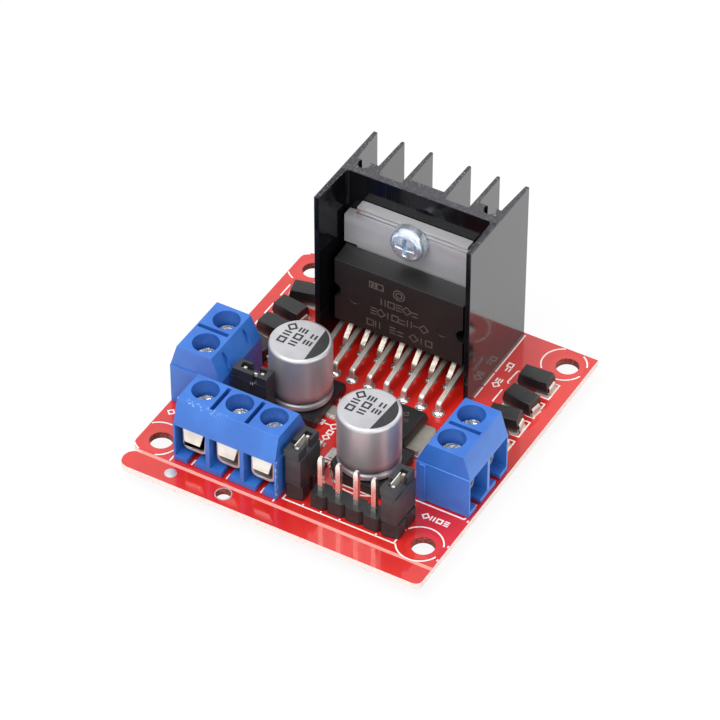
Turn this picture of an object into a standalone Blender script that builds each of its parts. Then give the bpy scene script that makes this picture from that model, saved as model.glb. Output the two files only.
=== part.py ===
"""A motor driver module: a power chip on a finned heatsink, screw terminals and pin headers on a board.

Metres, +Z up. The origin lies under the middle of the board, level with the tips of its soldered tails.
Every piece hangs on an empty at the middle of the four mounting holes, on the board's top face, so places
in this file are measured from there: X to the right, Y to the back, Z up from the board.
"""

import math

import bmesh
import bpy
from mathutils import Matrix, Vector

# Board, with the narrow rail that is left in front of its scored line
BOARD_WIDTH = 0.0438
MAIN_DEPTH = 0.04405
RAIL_DEPTH = 0.00325
BOARD_THICKNESS = 0.001
BOARD_CORNER = 0.0015
RAIL_LEFT_INSET = 0.00025
RAIL_CORNER = 0.0014
RAIL_RIGHT_CORNER = 0.0009
SCORE_WIDTH = 0.0005
BREAK_WIDTH = 0.0003
BREAK_LENGTH = 0.0018
MOUNT_SPACING = 0.038
MOUNT_DIAMETER = 0.00305
TOOLING_DIAMETER = 0.00195
TOOLING_X = -0.0071
TOOLING_SETBACK = 0.00185

# Fits
SEAT_GAP = 0.0001
TAIL_LENGTH = 0.0022
TAIL_CLEARANCE = 0.00015
THREAD_CLEARANCE = 0.0001

# Heatsink: an extrusion seen from above, its plate's front face at y = 0
SINK_WIDTH = 0.0226
SINK_HEIGHT = 0.0249
SINK_FACE_Y = 0.0131
WALL_REACH = 0.0068
WALL_ROOT = 0.0009
WALL_FRONT_TIP = 0.0007
WALL_BACK_TIP = 0.00055
FIN_REACH = 0.0084
FIN_INNER_X = 0.00277
FIN_OUTER_X = 0.00693
FIN_ROOT = 0.0007
FIN_TIP = 0.0005
FIN_TIP_RADIUS = 0.000225
PLATE_THIN = 0.0011
PLATE_THICK = 0.00225
BOSS_DEPTH = 0.00265
CHANNEL_X = 0.0091
CHANNEL_DEPTH = 0.00205
CHANNEL_RADIUS = 0.00085
SINK_FILLET = 0.0004
SINK_PIN_RADIUS = 0.001
SINK_PIN_GRIP = 0.008

# Screw that clamps the chip's tab to the heatsink
SCREW_Z = 0.0189
SCREW_RADIUS = 0.0015
SCREW_BEYOND = 0.0006
SCREW_HEAD_RADIUS = 0.0025
SCREW_HEAD_HEIGHT = 0.0019
SCREW_HEAD_EDGE = 0.0007
SCREW_RECESS_LENGTH = 0.0028
SCREW_RECESS_WIDTH = 0.0007
SCREW_RECESS_DEPTH = 0.0011

# Power chip, its back face at y = 0
CHIP_WIDTH = 0.0193
CHIP_DEPTH = 0.0049
CHIP_BOTTOM = 0.00405
CHIP_TOP = 0.0145
CHIP_DRAFT = 0.00025
CHIP_NOTCH_RADIUS = 0.0012
CHIP_NOTCH_Z = 0.0091
CHIP_DIMPLE_X = 0.0064
CHIP_DIMPLE_Z = 0.0087
CHIP_DIMPLE_RADIUS = 0.0008
CHIP_DIMPLE_DEPTH = 0.0001
TAB_WIDTH = 0.0198
TAB_THICKNESS = 0.0015
TAB_TOP = 0.02095
TAB_SHOULDER_Z = 0.019
TAB_NECK_INSET = 0.0012
TAB_TOP_INSET = 0.0019
TAB_STEM_WIDTH = 0.016
TAB_STEM_BOTTOM = 0.0056
TAB_HOLE_RADIUS = 0.0018
TAB_GROOVE_WIDTH = 0.00022
TAB_GROOVE_DEPTH = 0.00015
TAB_GROOVE_DROPS = (0.00055, 0.00115)

# Formed leads of the power chip: long ones in front, short ones behind, by turns
LEAD_COUNT = 15
LEAD_PITCH = 0.00127
LEAD_WIDTH = 0.0007
LEAD_THICKNESS = 0.0005
LEAD_EXIT_Y = 0.00255
LEAD_BEND = 0.0005
LONG_FOOT_Y = 0.01007
LONG_KNEE_Z = 0.003
LONG_HEEL_Z = 0.0015
SHORT_FOOT_Y = 0.00508
SHORT_KNEE_Z = 0.0037
SHORT_HEEL_Z = 0.0014

# Screw terminals, seen from the side where the wires go in, their front face at y = 0
POLE_PITCH = 0.005
TERMINAL_DEPTH = 0.0076
TERMINAL_HEIGHT = 0.0097
TERMINAL_FRONT_EDGE_Z = 0.0062
TERMINAL_BACK_EDGE_Z = 0.0064
TERMINAL_TOP_FRONT_Y = 0.00105
TERMINAL_TOP_BACK_Y = 0.0061
TERMINAL_TOP_INSET = 0.00015
TERMINAL_EDGE = 0.00015
WIRE_WIDTH = 0.00441
WIRE_TOP = 0.0059
FLOOR_HEIGHT = 0.00075
FRONT_WALL = 0.00075
CHAMBER_BACK_Y = 0.0062
CHAMBER_TOP = 0.0063
WELL_Y = 0.00395
WELL_RADIUS = 0.0018
FLOOR_SLOT_WIDTH = 0.0011
FLOOR_SLOT_DEPTH = 0.0047
PARTING_WIDTH = 0.0006
PARTING_FRONT_Y = 0.0013
PARTING_BACK_Y = 0.0057
PARTING_DEPTH = 0.0025
LENS_LENGTH = 0.0027
LENS_WIDTH = 0.0008
LENS_DEPTH = 0.00045
KEY_Y = 0.0062
KEY_WIDTH = 0.0009
KEY_DEPTH = 0.00025
KEY_TOP = 0.0061

# Wire clamp in each pole: a cage, a leaf in front of it and a solder pin
CAGE_WIDTH = 0.0035
CAGE_WALL = 0.0004
CAGE_BOTTOM = 0.0015
CAGE_TOP = 0.006
CAGE_FRONT_Y = 0.00105
CAGE_BACK_Y = 0.0054
CAGE_CORNER = 0.0009
CAGE_TOP_CORNER = 0.0005
LEAF_THICKNESS = 0.0003
LEAF_TOP_WIDTH = 0.0032
LEAF_TIP_WIDTH = 0.00225
LEAF_TOP_Y = 0.0011
LEAF_TIP_Y = 0.00055
LEAF_TIP_Z = 0.0033
# The right terminal's clamps sit deeper in their bays
DEEP_CAGE_FRONT_Y = 0.0016
DEEP_LEAF_Y = 0.0016
SOLDER_PIN_WIDTH = 0.0008
SOLDER_PIN_DEPTH = 0.0008
CLAMP_SCREW_HEAD_RADIUS = 0.0015
CLAMP_SCREW_HEAD_TOP = 0.0079
CLAMP_SCREW_RADIUS = 0.0011
CLAMP_SCREW_LENGTH = 0.0019
CLAMP_SCREW_CROWN = 0.0003
CLAMP_SLOT_LENGTH = 0.0023
CLAMP_SLOT_WIDTH = 0.0005
CLAMP_SLOT_DEPTH = 0.0006

# Where the terminals stand: how far in from the board's edge, and their middle along that edge
POWER_SETBACK = 0.0009
POWER_X = -0.00826
RIGHT_SETBACK = 0.00035
RIGHT_Y = -0.007
LEFT_SETBACK = 0.0001
LEFT_Y = -0.0071

# Pin headers and the jumper caps on them
PIN_PITCH = 0.00254
PIN_WIDTH = 0.00064
PIN_TIP_Z = 0.0078
HEADER_DEPTH = 0.0025
HEADER_HEIGHT = 0.0025
HEADER_NOTCH = 0.0004
INPUT_PINS = 4
INPUT_X = 0.00809
INPUT_Y = -0.01865
ENABLE_LEFT_X = 0.00095
ENABLE_RIGHT_X = 0.0146
ENABLE_Y = -0.0175
SUPPLY_JUMPER_X = -0.01105
SUPPLY_JUMPER_Y = -0.0092
CAP_LENGTH = 0.005
CAP_DEPTH = 0.0024
CAP_TOP = 0.0082
CAP_FLANGE_HEIGHT = 0.0012
CAP_FLANGE_REACH = 0.0002
CAP_WAIST_LENGTH = 0.0012
CAP_WAIST_DEPTH = 0.00045
CAP_PIN_CLEARANCE = 0.00015

# Capacitors
CAN_RADIUS = 0.0041
CAN_TOP = 0.0103
CAN_RIM = 0.0005
CRIMP_LOW_Z = 0.0024
CRIMP_HIGH_Z = 0.0032
CRIMP_DEPTH = 0.00035
CRIMP_FLAT = 0.00018
CAN_BASE_WIDTH = 0.0083
CAN_BASE_CHAMFER = 0.0017
CAN_BASE_HEIGHT = 0.0015
CAN_LIFT = 0.0001
CAN_LEAD_REACH = 0.0054
CAN_LEAD_WIDTH = 0.0018
CAN_LEAD_THICKNESS = 0.0003
FIRST_CAN_X = -0.00745
FIRST_CAN_Y = -0.0037
SECOND_CAN_X = 0.0064
SECOND_CAN_Y = -0.0104

# Diodes: middle and turn of each, down the right side and then down the left one
DIODE_LENGTH = 0.0043
DIODE_WIDTH = 0.0026
DIODE_HEIGHT = 0.0023
DIODE_DRAFT = 0.0002
DIODE_PARTING_Z = 0.0011
DIODE_LEAD_WIDTH = 0.0015
DIODE_LEAD_THICKNESS = 0.00022
DIODE_LEAD_REACH = 0.0004
DIODE_FOOT = 0.0008
DIODE_PLACES = (
    (0.0173, 0.0136, 3),
    (0.01743, 0.00935, -7.5),
    (0.0172, 0.0053, 9),
    (0.0173, 0.0013, 0),
    (-0.0167, 0.0134, 14),
    (-0.01684, 0.00943, -8),
    (-0.0169, 0.00555, -5),
    (-0.0169, 0.0013, -12),
)

# Voltage regulator, lying on its back with its tab to the right
REGULATOR_X = 0.00585
REGULATOR_Y = -0.00285
REGULATOR_LENGTH = 0.0061
REGULATOR_WIDTH = 0.0064
REGULATOR_TOP = 0.0023
REGULATOR_DRAFT = 0.0003
REGULATOR_LEAD_PITCH = 0.00228
REGULATOR_LEAD_WIDTH = 0.0008
REGULATOR_LEAD_THICKNESS = 0.0003
REGULATOR_LEAD_REACH = 0.0023
REGULATOR_STUB_REACH = 0.0006
REGULATOR_LEAD_Z = 0.0012
SLUG_WIDTH = 0.00495
SLUG_THICKNESS = 0.0006
SLUG_REACH = 0.0016
SLUG_UNDER = 0.0048

# Indicator and its resistor
CHIP_PART_LENGTH = 0.002
CHIP_PART_WIDTH = 0.00125
CHIP_PART_END = 0.0004
CHIP_PART_STEP = 0.00006
INDICATOR_X = -0.0013
INDICATOR_Y = -0.0106
INDICATOR_HEIGHT = 0.0008
RESISTOR_X = 0.0009
RESISTOR_Y = -0.0132
RESISTOR_HEIGHT = 0.00055

# Facets
ARC_STEPS = 3
MOUNT_SIDES = 28
PIN_HOLE_SIDES = 8
WELL_SIDES = 24
SCREW_SIDES = 24
SHANK_SIDES = 16
CAN_SIDES = 32
SMOOTH_ANGLE = math.radians(35)
FLAT_ANGLE = math.radians(0.1)
WELD_DISTANCE = 0.000002
CUT = 0.002

TAIL_Z = -(BOARD_THICKNESS + TAIL_LENGTH)
SECTION = Matrix(((0, 0, 1, 0), (1, 0, 0, 0), (0, 1, 0, 0), (0, 0, 0, 1)))
ELEVATION = Matrix.Rotation(math.pi / 2, 4, "X")


def empty_scene():
    """Remove what the file opens with, then make the two collections."""
    for item in list(bpy.data.objects):
        bpy.data.objects.remove(item)
    for name in ("motor_driver_module", "cutters"):
        bpy.context.scene.collection.children.link(bpy.data.collections.new(name))


def guide(name, data):
    """A working object in the cutters' collection, hidden from renders."""
    item = bpy.data.objects.new(name, data)
    item.hide_render = True
    item.display_type = "WIRE"
    bpy.data.collections["cutters"].objects.link(item)
    return item


def frozen(body):
    """The mesh of a working object with its modifiers."""
    bpy.context.view_layer.update()
    graph = bpy.context.evaluated_depsgraph_get()
    mesh = bpy.data.meshes.new_from_object(body.evaluated_get(graph), depsgraph=graph)
    mesh.name = body.name
    return mesh


def welded(mesh):
    """The mesh with its caps welded to its sides, flat stretches made one face and all faces turned out."""
    work = bmesh.new()
    work.from_mesh(mesh)
    bmesh.ops.remove_doubles(work, verts=work.verts, dist=WELD_DISTANCE)
    bmesh.ops.beautify_fill(work, faces=work.faces, edges=work.edges)
    bmesh.ops.dissolve_limit(work, angle_limit=FLAT_ANGLE, verts=work.verts, edges=work.edges)
    bmesh.ops.recalc_face_normals(work, faces=work.faces)
    work.to_mesh(mesh)
    work.free()
    return mesh


def shaped(name, base, joins=(), cuts=()):
    """The base mesh with some meshes joined to it and others cut from it."""
    body = guide(name, base)
    for operation, tools in (("UNION", joins), ("DIFFERENCE", cuts)):
        for number, mesh in enumerate(tools):
            tool_name = f"{name}_{operation.lower()}_{number}"
            boolean = body.modifiers.new(tool_name, "BOOLEAN")
            boolean.operation = operation
            boolean.solver = "EXACT"
            boolean.object = guide(tool_name, mesh)
    return frozen(body)


def moved(mesh, x=0.0, y=0.0, z=0.0, matrix=None):
    """A copy of a mesh, turned by the matrix and then shifted."""
    copy = mesh.copy()
    copy.transform(Matrix.Translation((x, y, z)) @ (matrix or Matrix()))
    return copy


def block(low, high, inset=0.0, face=Vector((0, 0, 1))):
    """A box between two corners, the four corners on one face drawn in by the inset."""
    low = Vector(low)
    high = Vector(high)
    middle = (low + high) / 2
    work = bmesh.new()
    bmesh.ops.create_cube(work, size=1.0)
    for corner in work.verts:
        drawn = corner.co.dot(face) > 0
        for axis in range(3):
            side = 1 if corner.co[axis] > 0 else -1
            reach = (high[axis] - low[axis]) / 2
            if drawn and not face[axis]:
                reach -= inset
            corner.co[axis] = middle[axis] + side * reach
    mesh = bpy.data.meshes.new("block")
    work.to_mesh(mesh)
    work.free()
    return mesh


def rod(radius, start, end, sides):
    """A cylinder between two points."""
    start = Vector(start)
    end = Vector(end)
    axis = end - start
    work = bmesh.new()
    bmesh.ops.create_cone(
        work, cap_ends=True, segments=sides, radius1=radius, radius2=radius, depth=axis.length
    )
    mesh = bpy.data.meshes.new("rod")
    work.to_mesh(mesh)
    work.free()
    mesh.transform(Matrix.Translation((start + end) / 2) @ axis.to_track_quat("Z", "Y").to_matrix().to_4x4())
    return mesh


def circle(x, y, radius, sides):
    """Points around a circle."""
    turns = [2 * math.pi * step / sides for step in range(sides)]
    return [(x + radius * math.cos(turn), y + radius * math.sin(turn)) for turn in turns]


def rounded(corners):
    """Points of an outline whose corners (x, y, radius) are eased by arcs."""
    points = []
    for index, (x, y, radius) in enumerate(corners):
        if radius == 0:
            points.append((x, y))
            continue
        corner = Vector((x, y))
        before = (Vector(corners[index - 1][:2]) - corner).normalized()
        after = (Vector(corners[(index + 1) % len(corners)][:2]) - corner).normalized()
        half = before.angle(after) / 2
        centre = corner + (before + after).normalized() * radius / math.sin(half)
        start = corner + before * radius / math.tan(half) - centre
        end = corner + after * radius / math.tan(half) - centre
        first = math.atan2(start.y, start.x)
        sweep = (math.atan2(end.y, end.x) - first + math.pi) % (2 * math.pi) - math.pi
        for step in range(ARC_STEPS + 1):
            turn = first + sweep * step / ARC_STEPS
            points.append((centre.x + radius * math.cos(turn), centre.y + radius * math.sin(turn)))
    return points


def drawn(name, loops, half_depth, closed):
    """A flat curve through the loops' points, drawn out both ways along Z."""
    curve = bpy.data.curves.new(name, "CURVE")
    curve.dimensions = "2D"
    curve.fill_mode = "BOTH" if closed else "NONE"
    curve.extrude = half_depth
    for loop in loops:
        spline = curve.splines.new("POLY")
        spline.points.add(len(loop) - 1)
        for point, (x, y) in zip(spline.points, loop):
            point.co = (x, y, 0, 1)
        spline.use_cyclic_u = closed
    return welded(frozen(guide(name, curve)))


def plate(name, loops, thickness):
    """A solid of a flat outline and its holes, halfway above and below z = 0."""
    return drawn(name, loops, thickness / 2, True)


def ribbon(name, corners, width, thickness):
    """A bent strip: a path drawn out to the strip's width, then given its thickness."""
    strip = guide(name, drawn(name + "_path", [rounded(corners)], width / 2, False))
    solidify = strip.modifiers.new("thickness", "SOLIDIFY")
    solidify.thickness = thickness
    solidify.offset = 0
    solidify.use_even_offset = True
    return welded(frozen(strip))


def turned(name, profile, sides):
    """A solid of revolution about Z, its profile (radius, z) given from the top down."""
    mesh = bpy.data.meshes.new(name)
    edges = [(index, index + 1) for index in range(len(profile) - 1)]
    mesh.from_pydata([(radius, 0, z) for radius, z in profile], edges, [])
    body = guide(name, mesh)
    screw = body.modifiers.new("turn", "SCREW")
    screw.steps = sides
    screw.render_steps = sides
    screw.use_merge_vertices = True
    screw.merge_threshold = WELD_DISTANCE
    return welded(frozen(body))


def dome(radius, edge_z, top_z, steps=ARC_STEPS):
    """The upper part of a turned head: a quarter ellipse from its top to its edge."""
    turns = [math.pi / 2 * step / steps for step in range(steps + 1)]
    return [(radius * math.sin(turn), edge_z + (top_z - edge_z) * math.cos(turn)) for turn in turns]


def finish(name, colour, roughness, metallic=0.0):
    """A plain material."""
    material = bpy.data.materials.new(name)
    material.use_nodes = True
    shader = material.node_tree.nodes["Principled BSDF"]
    shader.inputs["Base Color"].default_value = (*colour, 1.0)
    shader.inputs["Roughness"].default_value = roughness
    shader.inputs["Metallic"].default_value = metallic
    return material


def datum(name, location, turn=0.0, parent=None):
    """An empty that carries the pieces of one assembly."""
    item = bpy.data.objects.new(name, None)
    item.location = location
    item.rotation_euler.z = math.radians(turn)
    item.parent = parent
    bpy.data.collections["motor_driver_module"].objects.link(item)
    return item


def part(name, mesh, material, parent, location=(0, 0, 0), turn=0.0):
    """One named piece of the module."""
    if not mesh.materials:
        mesh.materials.append(material)
        mesh.shade_smooth()
        mesh.set_sharp_from_angle(angle=SMOOTH_ANGLE)
    item = bpy.data.objects.new(name, mesh)
    item.location = location
    item.rotation_euler.z = math.radians(turn)
    item.parent = parent
    bpy.data.collections["motor_driver_module"].objects.link(item)
    return item


def tail_hole(x, y, width, depth):
    """A round hole in the board for a square tail, with room at the tail's corners."""
    radius = math.hypot(width, depth) / 2 + TAIL_CLEARANCE
    return circle(x, y, radius / math.cos(math.pi / PIN_HOLE_SIDES), PIN_HOLE_SIDES)


# Board
def board_outline():
    """Edge of the board and its rail, which part at the left in a short break."""
    side = BOARD_WIDTH / 2
    back = MAIN_DEPTH / 2
    front = -back - RAIL_DEPTH
    split = BREAK_WIDTH / 2
    return rounded(
        [
            (side, back, 0),
            (-side, back, BOARD_CORNER),
            (-side, -back + split, BOARD_CORNER),
            (-side + BREAK_LENGTH, -back + split, 0),
            (-side + BREAK_LENGTH, -back - split, 0),
            (-side + RAIL_LEFT_INSET, -back - split, RAIL_CORNER),
            (-side + RAIL_LEFT_INSET, front, RAIL_CORNER),
            (side, front, RAIL_RIGHT_CORNER),
        ]
    )


def board(datum_point, tail_holes):
    """The board with its mounting, tooling and tail holes, scored across on both faces."""
    reach = MOUNT_SPACING / 2
    loops = [board_outline()]
    for x in (-reach, reach):
        for y in (-reach, reach):
            loops.append(circle(x, y, MOUNT_DIAMETER / 2, MOUNT_SIDES))
    tooling_y = -MAIN_DEPTH / 2 - RAIL_DEPTH + TOOLING_SETBACK
    loops.append(circle(TOOLING_X, tooling_y, TOOLING_DIAMETER / 2, MOUNT_SIDES))
    loops.extend(tail_holes)
    blank = plate("board_blank", loops, BOARD_THICKNESS)
    half = SCORE_WIDTH / math.sqrt(8)
    bar = block((-BOARD_WIDTH, -half, -half), (BOARD_WIDTH, half, half))
    bar.transform(Matrix.Rotation(math.pi / 4, 4, "X"))
    scores = [moved(bar, y=-MAIN_DEPTH / 2, z=side * BOARD_THICKNESS / 2) for side in (-1, 1)]
    mesh = shaped("board", blank, cuts=scores)
    resin = finish("red_board", (0.72, 0.02, 0.012), 0.35)
    part("circuit_board", mesh, resin, datum_point, (0, 0, -BOARD_THICKNESS / 2))


# Heatsink
def sink_outline():
    """Section of the extrusion: side walls, plate, four fins and two bosses with open channels."""
    edge = SINK_WIDTH / 2
    mouth = math.acos((BOSS_DEPTH - CHANNEL_DEPTH) / CHANNEL_RADIUS)
    channel_steps = 4 * ARC_STEPS
    half = [
        (edge - WALL_ROOT, 0, SINK_FILLET),
        (edge - WALL_FRONT_TIP, -WALL_REACH, 0),
        (edge, -WALL_REACH, 0),
        (edge, FIN_REACH, 0),
        (edge - WALL_BACK_TIP, FIN_REACH, 0),
        (edge - WALL_ROOT, BOSS_DEPTH, 0),
    ]
    for step in range(channel_steps + 1):
        turn = math.pi / 2 - mouth - 2 * (math.pi - mouth) * step / channel_steps
        x = CHANNEL_X + CHANNEL_RADIUS * math.cos(turn)
        half.append((x, CHANNEL_DEPTH + CHANNEL_RADIUS * math.sin(turn), 0))
    fins = ((FIN_OUTER_X, BOSS_DEPTH, PLATE_THIN), (FIN_INNER_X, PLATE_THIN, PLATE_THICK))
    for x, outer_depth, inner_depth in fins:
        half.append((x + FIN_ROOT / 2, outer_depth, 0))
        half.append((x + FIN_TIP / 2, FIN_REACH, FIN_TIP_RADIUS))
        half.append((x - FIN_TIP / 2, FIN_REACH, FIN_TIP_RADIUS))
        half.append((x - FIN_ROOT / 2, inner_depth, 0))
    return rounded(half + [(-x, y, radius) for x, y, radius in reversed(half)])


def heatsink(datum_point):
    """The extrusion, its two pressed-in pins and the drilling for the screw. Gives the pins' holes."""
    blank = moved(plate("sink_blank", [sink_outline()], SINK_HEIGHT), z=SINK_HEIGHT / 2)
    pins = []
    for x in (-CHANNEL_X, CHANNEL_X):
        low = (x, CHANNEL_DEPTH, TAIL_Z - SEAT_GAP)
        pins.append(rod(SINK_PIN_RADIUS, low, (x, CHANNEL_DEPTH, SINK_PIN_GRIP), SHANK_SIDES))
    drill_z = SCREW_Z - SEAT_GAP
    drill = rod(
        SCREW_RADIUS + THREAD_CLEARANCE, (0, -CUT, drill_z), (0, PLATE_THICK + CUT, drill_z), SCREW_SIDES
    )
    mesh = shaped("sink", blank, joins=pins, cuts=[drill])
    anodised = finish("black_anodised", (0.012, 0.012, 0.014), 0.3, 0.6)
    part("heatsink", mesh, anodised, datum_point, (0, SINK_FACE_Y, SEAT_GAP))
    hole_radius = SINK_PIN_RADIUS + TAIL_CLEARANCE
    hole_y = SINK_FACE_Y + CHANNEL_DEPTH
    return [circle(x, hole_y, hole_radius, SHANK_SIDES) for x in (-CHANNEL_X, CHANNEL_X)]


def heatsink_screw(datum_point):
    """A pan-head screw with a cross recess, through the tab and the plate."""
    grip = TAB_THICKNESS + 2 * SEAT_GAP + PLATE_THICK + SCREW_BEYOND
    profile = dome(SCREW_HEAD_RADIUS, SCREW_HEAD_EDGE, SCREW_HEAD_HEIGHT, 2 * ARC_STEPS)
    profile += [(SCREW_HEAD_RADIUS, 0), (SCREW_RADIUS, 0), (SCREW_RADIUS, -grip), (0, -grip)]
    recesses = []
    for long, wide in ((SCREW_RECESS_LENGTH, SCREW_RECESS_WIDTH), (SCREW_RECESS_WIDTH, SCREW_RECESS_LENGTH)):
        low = (-long / 2, -wide / 2, SCREW_HEAD_HEIGHT - SCREW_RECESS_DEPTH)
        recesses.append(block(low, (long / 2, wide / 2, SCREW_HEAD_HEIGHT + CUT)))
    mesh = shaped("pan_head", turned("pan_head_blank", profile, SCREW_SIDES), cuts=recesses)
    mesh.transform(ELEVATION)
    zinc = finish("screw_zinc", (0.55, 0.6, 0.64), 0.25, 1.0)
    seat_y = SINK_FACE_Y - 2 * SEAT_GAP - TAB_THICKNESS
    part("heatsink_screw", mesh, zinc, datum_point, (0, seat_y, SCREW_Z))


# Power chip
def chip_body(chip):
    """The moulded body, with side notches, dimples and a pocket behind it for the tab's stem."""
    side = CHIP_WIDTH / 2
    low = (-side, -CHIP_DEPTH, CHIP_BOTTOM)
    base = block(low, (side, 0, CHIP_TOP), CHIP_DRAFT, Vector((0, -1, 0)))
    stem = TAB_STEM_WIDTH / 2 + SEAT_GAP
    floor = TAB_STEM_BOTTOM - SEAT_GAP
    cuts = [block((-stem, -TAB_THICKNESS - SEAT_GAP, floor), (stem, CUT, CHIP_TOP + CUT))]
    for x in (-side, side):
        notch = ((x, -CHIP_DEPTH - CUT, CHIP_NOTCH_Z), (x, CUT, CHIP_NOTCH_Z))
        cuts.append(rod(CHIP_NOTCH_RADIUS, *notch, SHANK_SIDES))
    for x in (-CHIP_DIMPLE_X, CHIP_DIMPLE_X):
        outer = (x, -CHIP_DEPTH - CUT, CHIP_DIMPLE_Z)
        inner = (x, -CHIP_DEPTH + CHIP_DIMPLE_DEPTH, CHIP_DIMPLE_Z)
        cuts.append(rod(CHIP_DIMPLE_RADIUS, outer, inner, SHANK_SIDES))
    epoxy = finish("chip_epoxy", (0.016, 0.015, 0.015), 0.4)
    part("driver_chip_body", shaped("chip", base, cuts=cuts), epoxy, chip)


def chip_tab(chip):
    """The metal tab: a stem behind the body and a wide head with nipped corners and two fine grooves."""
    side = TAB_WIDTH / 2
    stem = TAB_STEM_WIDTH / 2
    shoulder = CHIP_TOP + SEAT_GAP
    neck = side - TAB_NECK_INSET
    top = side - TAB_TOP_INSET
    slope = TAB_TOP_INSET - TAB_NECK_INSET
    half = [
        (stem, TAB_STEM_BOTTOM),
        (stem, shoulder),
        (side, shoulder),
        (side, TAB_SHOULDER_Z),
        (neck, TAB_SHOULDER_Z + SEAT_GAP),
        (top, TAB_SHOULDER_Z + SEAT_GAP + 2 * slope),
        (top, TAB_TOP),
    ]
    edge = half + [(-x, z) for x, z in reversed(half)]
    hole = circle(0, SCREW_Z, TAB_HOLE_RADIUS, SCREW_SIDES)
    blank = moved(plate("tab_blank", [edge, hole], TAB_THICKNESS), y=-TAB_THICKNESS / 2, matrix=ELEVATION)
    grooves = []
    for drop in TAB_GROOVE_DROPS:
        low = (-BOARD_WIDTH, -TAB_THICKNESS - CUT, TAB_TOP - drop - TAB_GROOVE_WIDTH / 2)
        high = (BOARD_WIDTH, -TAB_THICKNESS + TAB_GROOVE_DEPTH, TAB_TOP - drop + TAB_GROOVE_WIDTH / 2)
        grooves.append(block(low, high))
    nickel = finish("tab_nickel", (0.42, 0.4, 0.38), 0.35, 1.0)
    part("driver_chip_tab", shaped("tab", blank, cuts=grooves), nickel, chip)


def lead(name, foot_y, knee_z, heel_z):
    """A formed lead: down out of the body, forward over its knee and down through the board."""
    corners = [
        (-LEAD_EXIT_Y, CHIP_BOTTOM - SEAT_GAP, 0),
        (-LEAD_EXIT_Y, knee_z, LEAD_BEND),
        (-foot_y, heel_z, LEAD_BEND),
        (-foot_y, TAIL_Z, 0),
    ]
    mesh = ribbon(name, corners, LEAD_WIDTH, LEAD_THICKNESS)
    mesh.transform(SECTION)
    return mesh


def driver_chip(datum_point):
    """The chip, its back against the heatsink's plate. Gives the holes for its leads."""
    back_y = SINK_FACE_Y - SEAT_GAP
    chip = datum("driver_chip", (0, back_y, 0), parent=datum_point)
    chip_body(chip)
    chip_tab(chip)
    tin = finish("lead_tin", (0.62, 0.6, 0.57), 0.28, 1.0)
    long_lead = lead("long_lead", LONG_FOOT_Y, LONG_KNEE_Z, LONG_HEEL_Z)
    short_lead = lead("short_lead", SHORT_FOOT_Y, SHORT_KNEE_Z, SHORT_HEEL_Z)
    holes = []
    for index in range(LEAD_COUNT):
        x = (index - (LEAD_COUNT - 1) / 2) * LEAD_PITCH
        mesh, foot_y = ((long_lead, LONG_FOOT_Y), (short_lead, SHORT_FOOT_Y))[index % 2]
        part(f"driver_chip_lead_{index + 1:02d}", mesh, tin, chip, (x, 0, 0))
        holes.append(tail_hole(x, back_y - foot_y, LEAD_WIDTH, LEAD_THICKNESS))
    return holes


# Screw terminals
def pole_places(poles):
    """X of each pole's middle in a terminal of so many poles."""
    return [(index - (poles - 1) / 2) * POLE_PITCH for index in range(poles)]


def lens():
    """A slim lens-shaped cutter that stands square on the housing's back slope."""
    bulge = LENS_WIDTH / 2
    sagitta_radius = (LENS_LENGTH**2 / 4 + bulge**2) / (2 * bulge)
    half_turn = math.asin(LENS_LENGTH / 2 / sagitta_radius)
    steps = 2 * ARC_STEPS
    turns = [half_turn * (2 * step / steps - 1) for step in range(steps)]
    centre_x = bulge - sagitta_radius
    arc = [(centre_x + sagitta_radius * math.cos(turn), sagitta_radius * math.sin(turn)) for turn in turns]
    mesh = plate("lens", [arc + [(-x, -y) for x, y in arc]], 2 * LENS_DEPTH)
    run = TERMINAL_DEPTH - TERMINAL_TOP_BACK_Y
    fall = TERMINAL_HEIGHT - TERMINAL_BACK_EDGE_Z
    lean = Matrix.Rotation(math.atan2(run, fall) - math.pi / 2, 4, "X")
    return moved(mesh, y=TERMINAL_DEPTH - run / 2, z=TERMINAL_BACK_EDGE_Z + fall / 2, matrix=lean)


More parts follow.
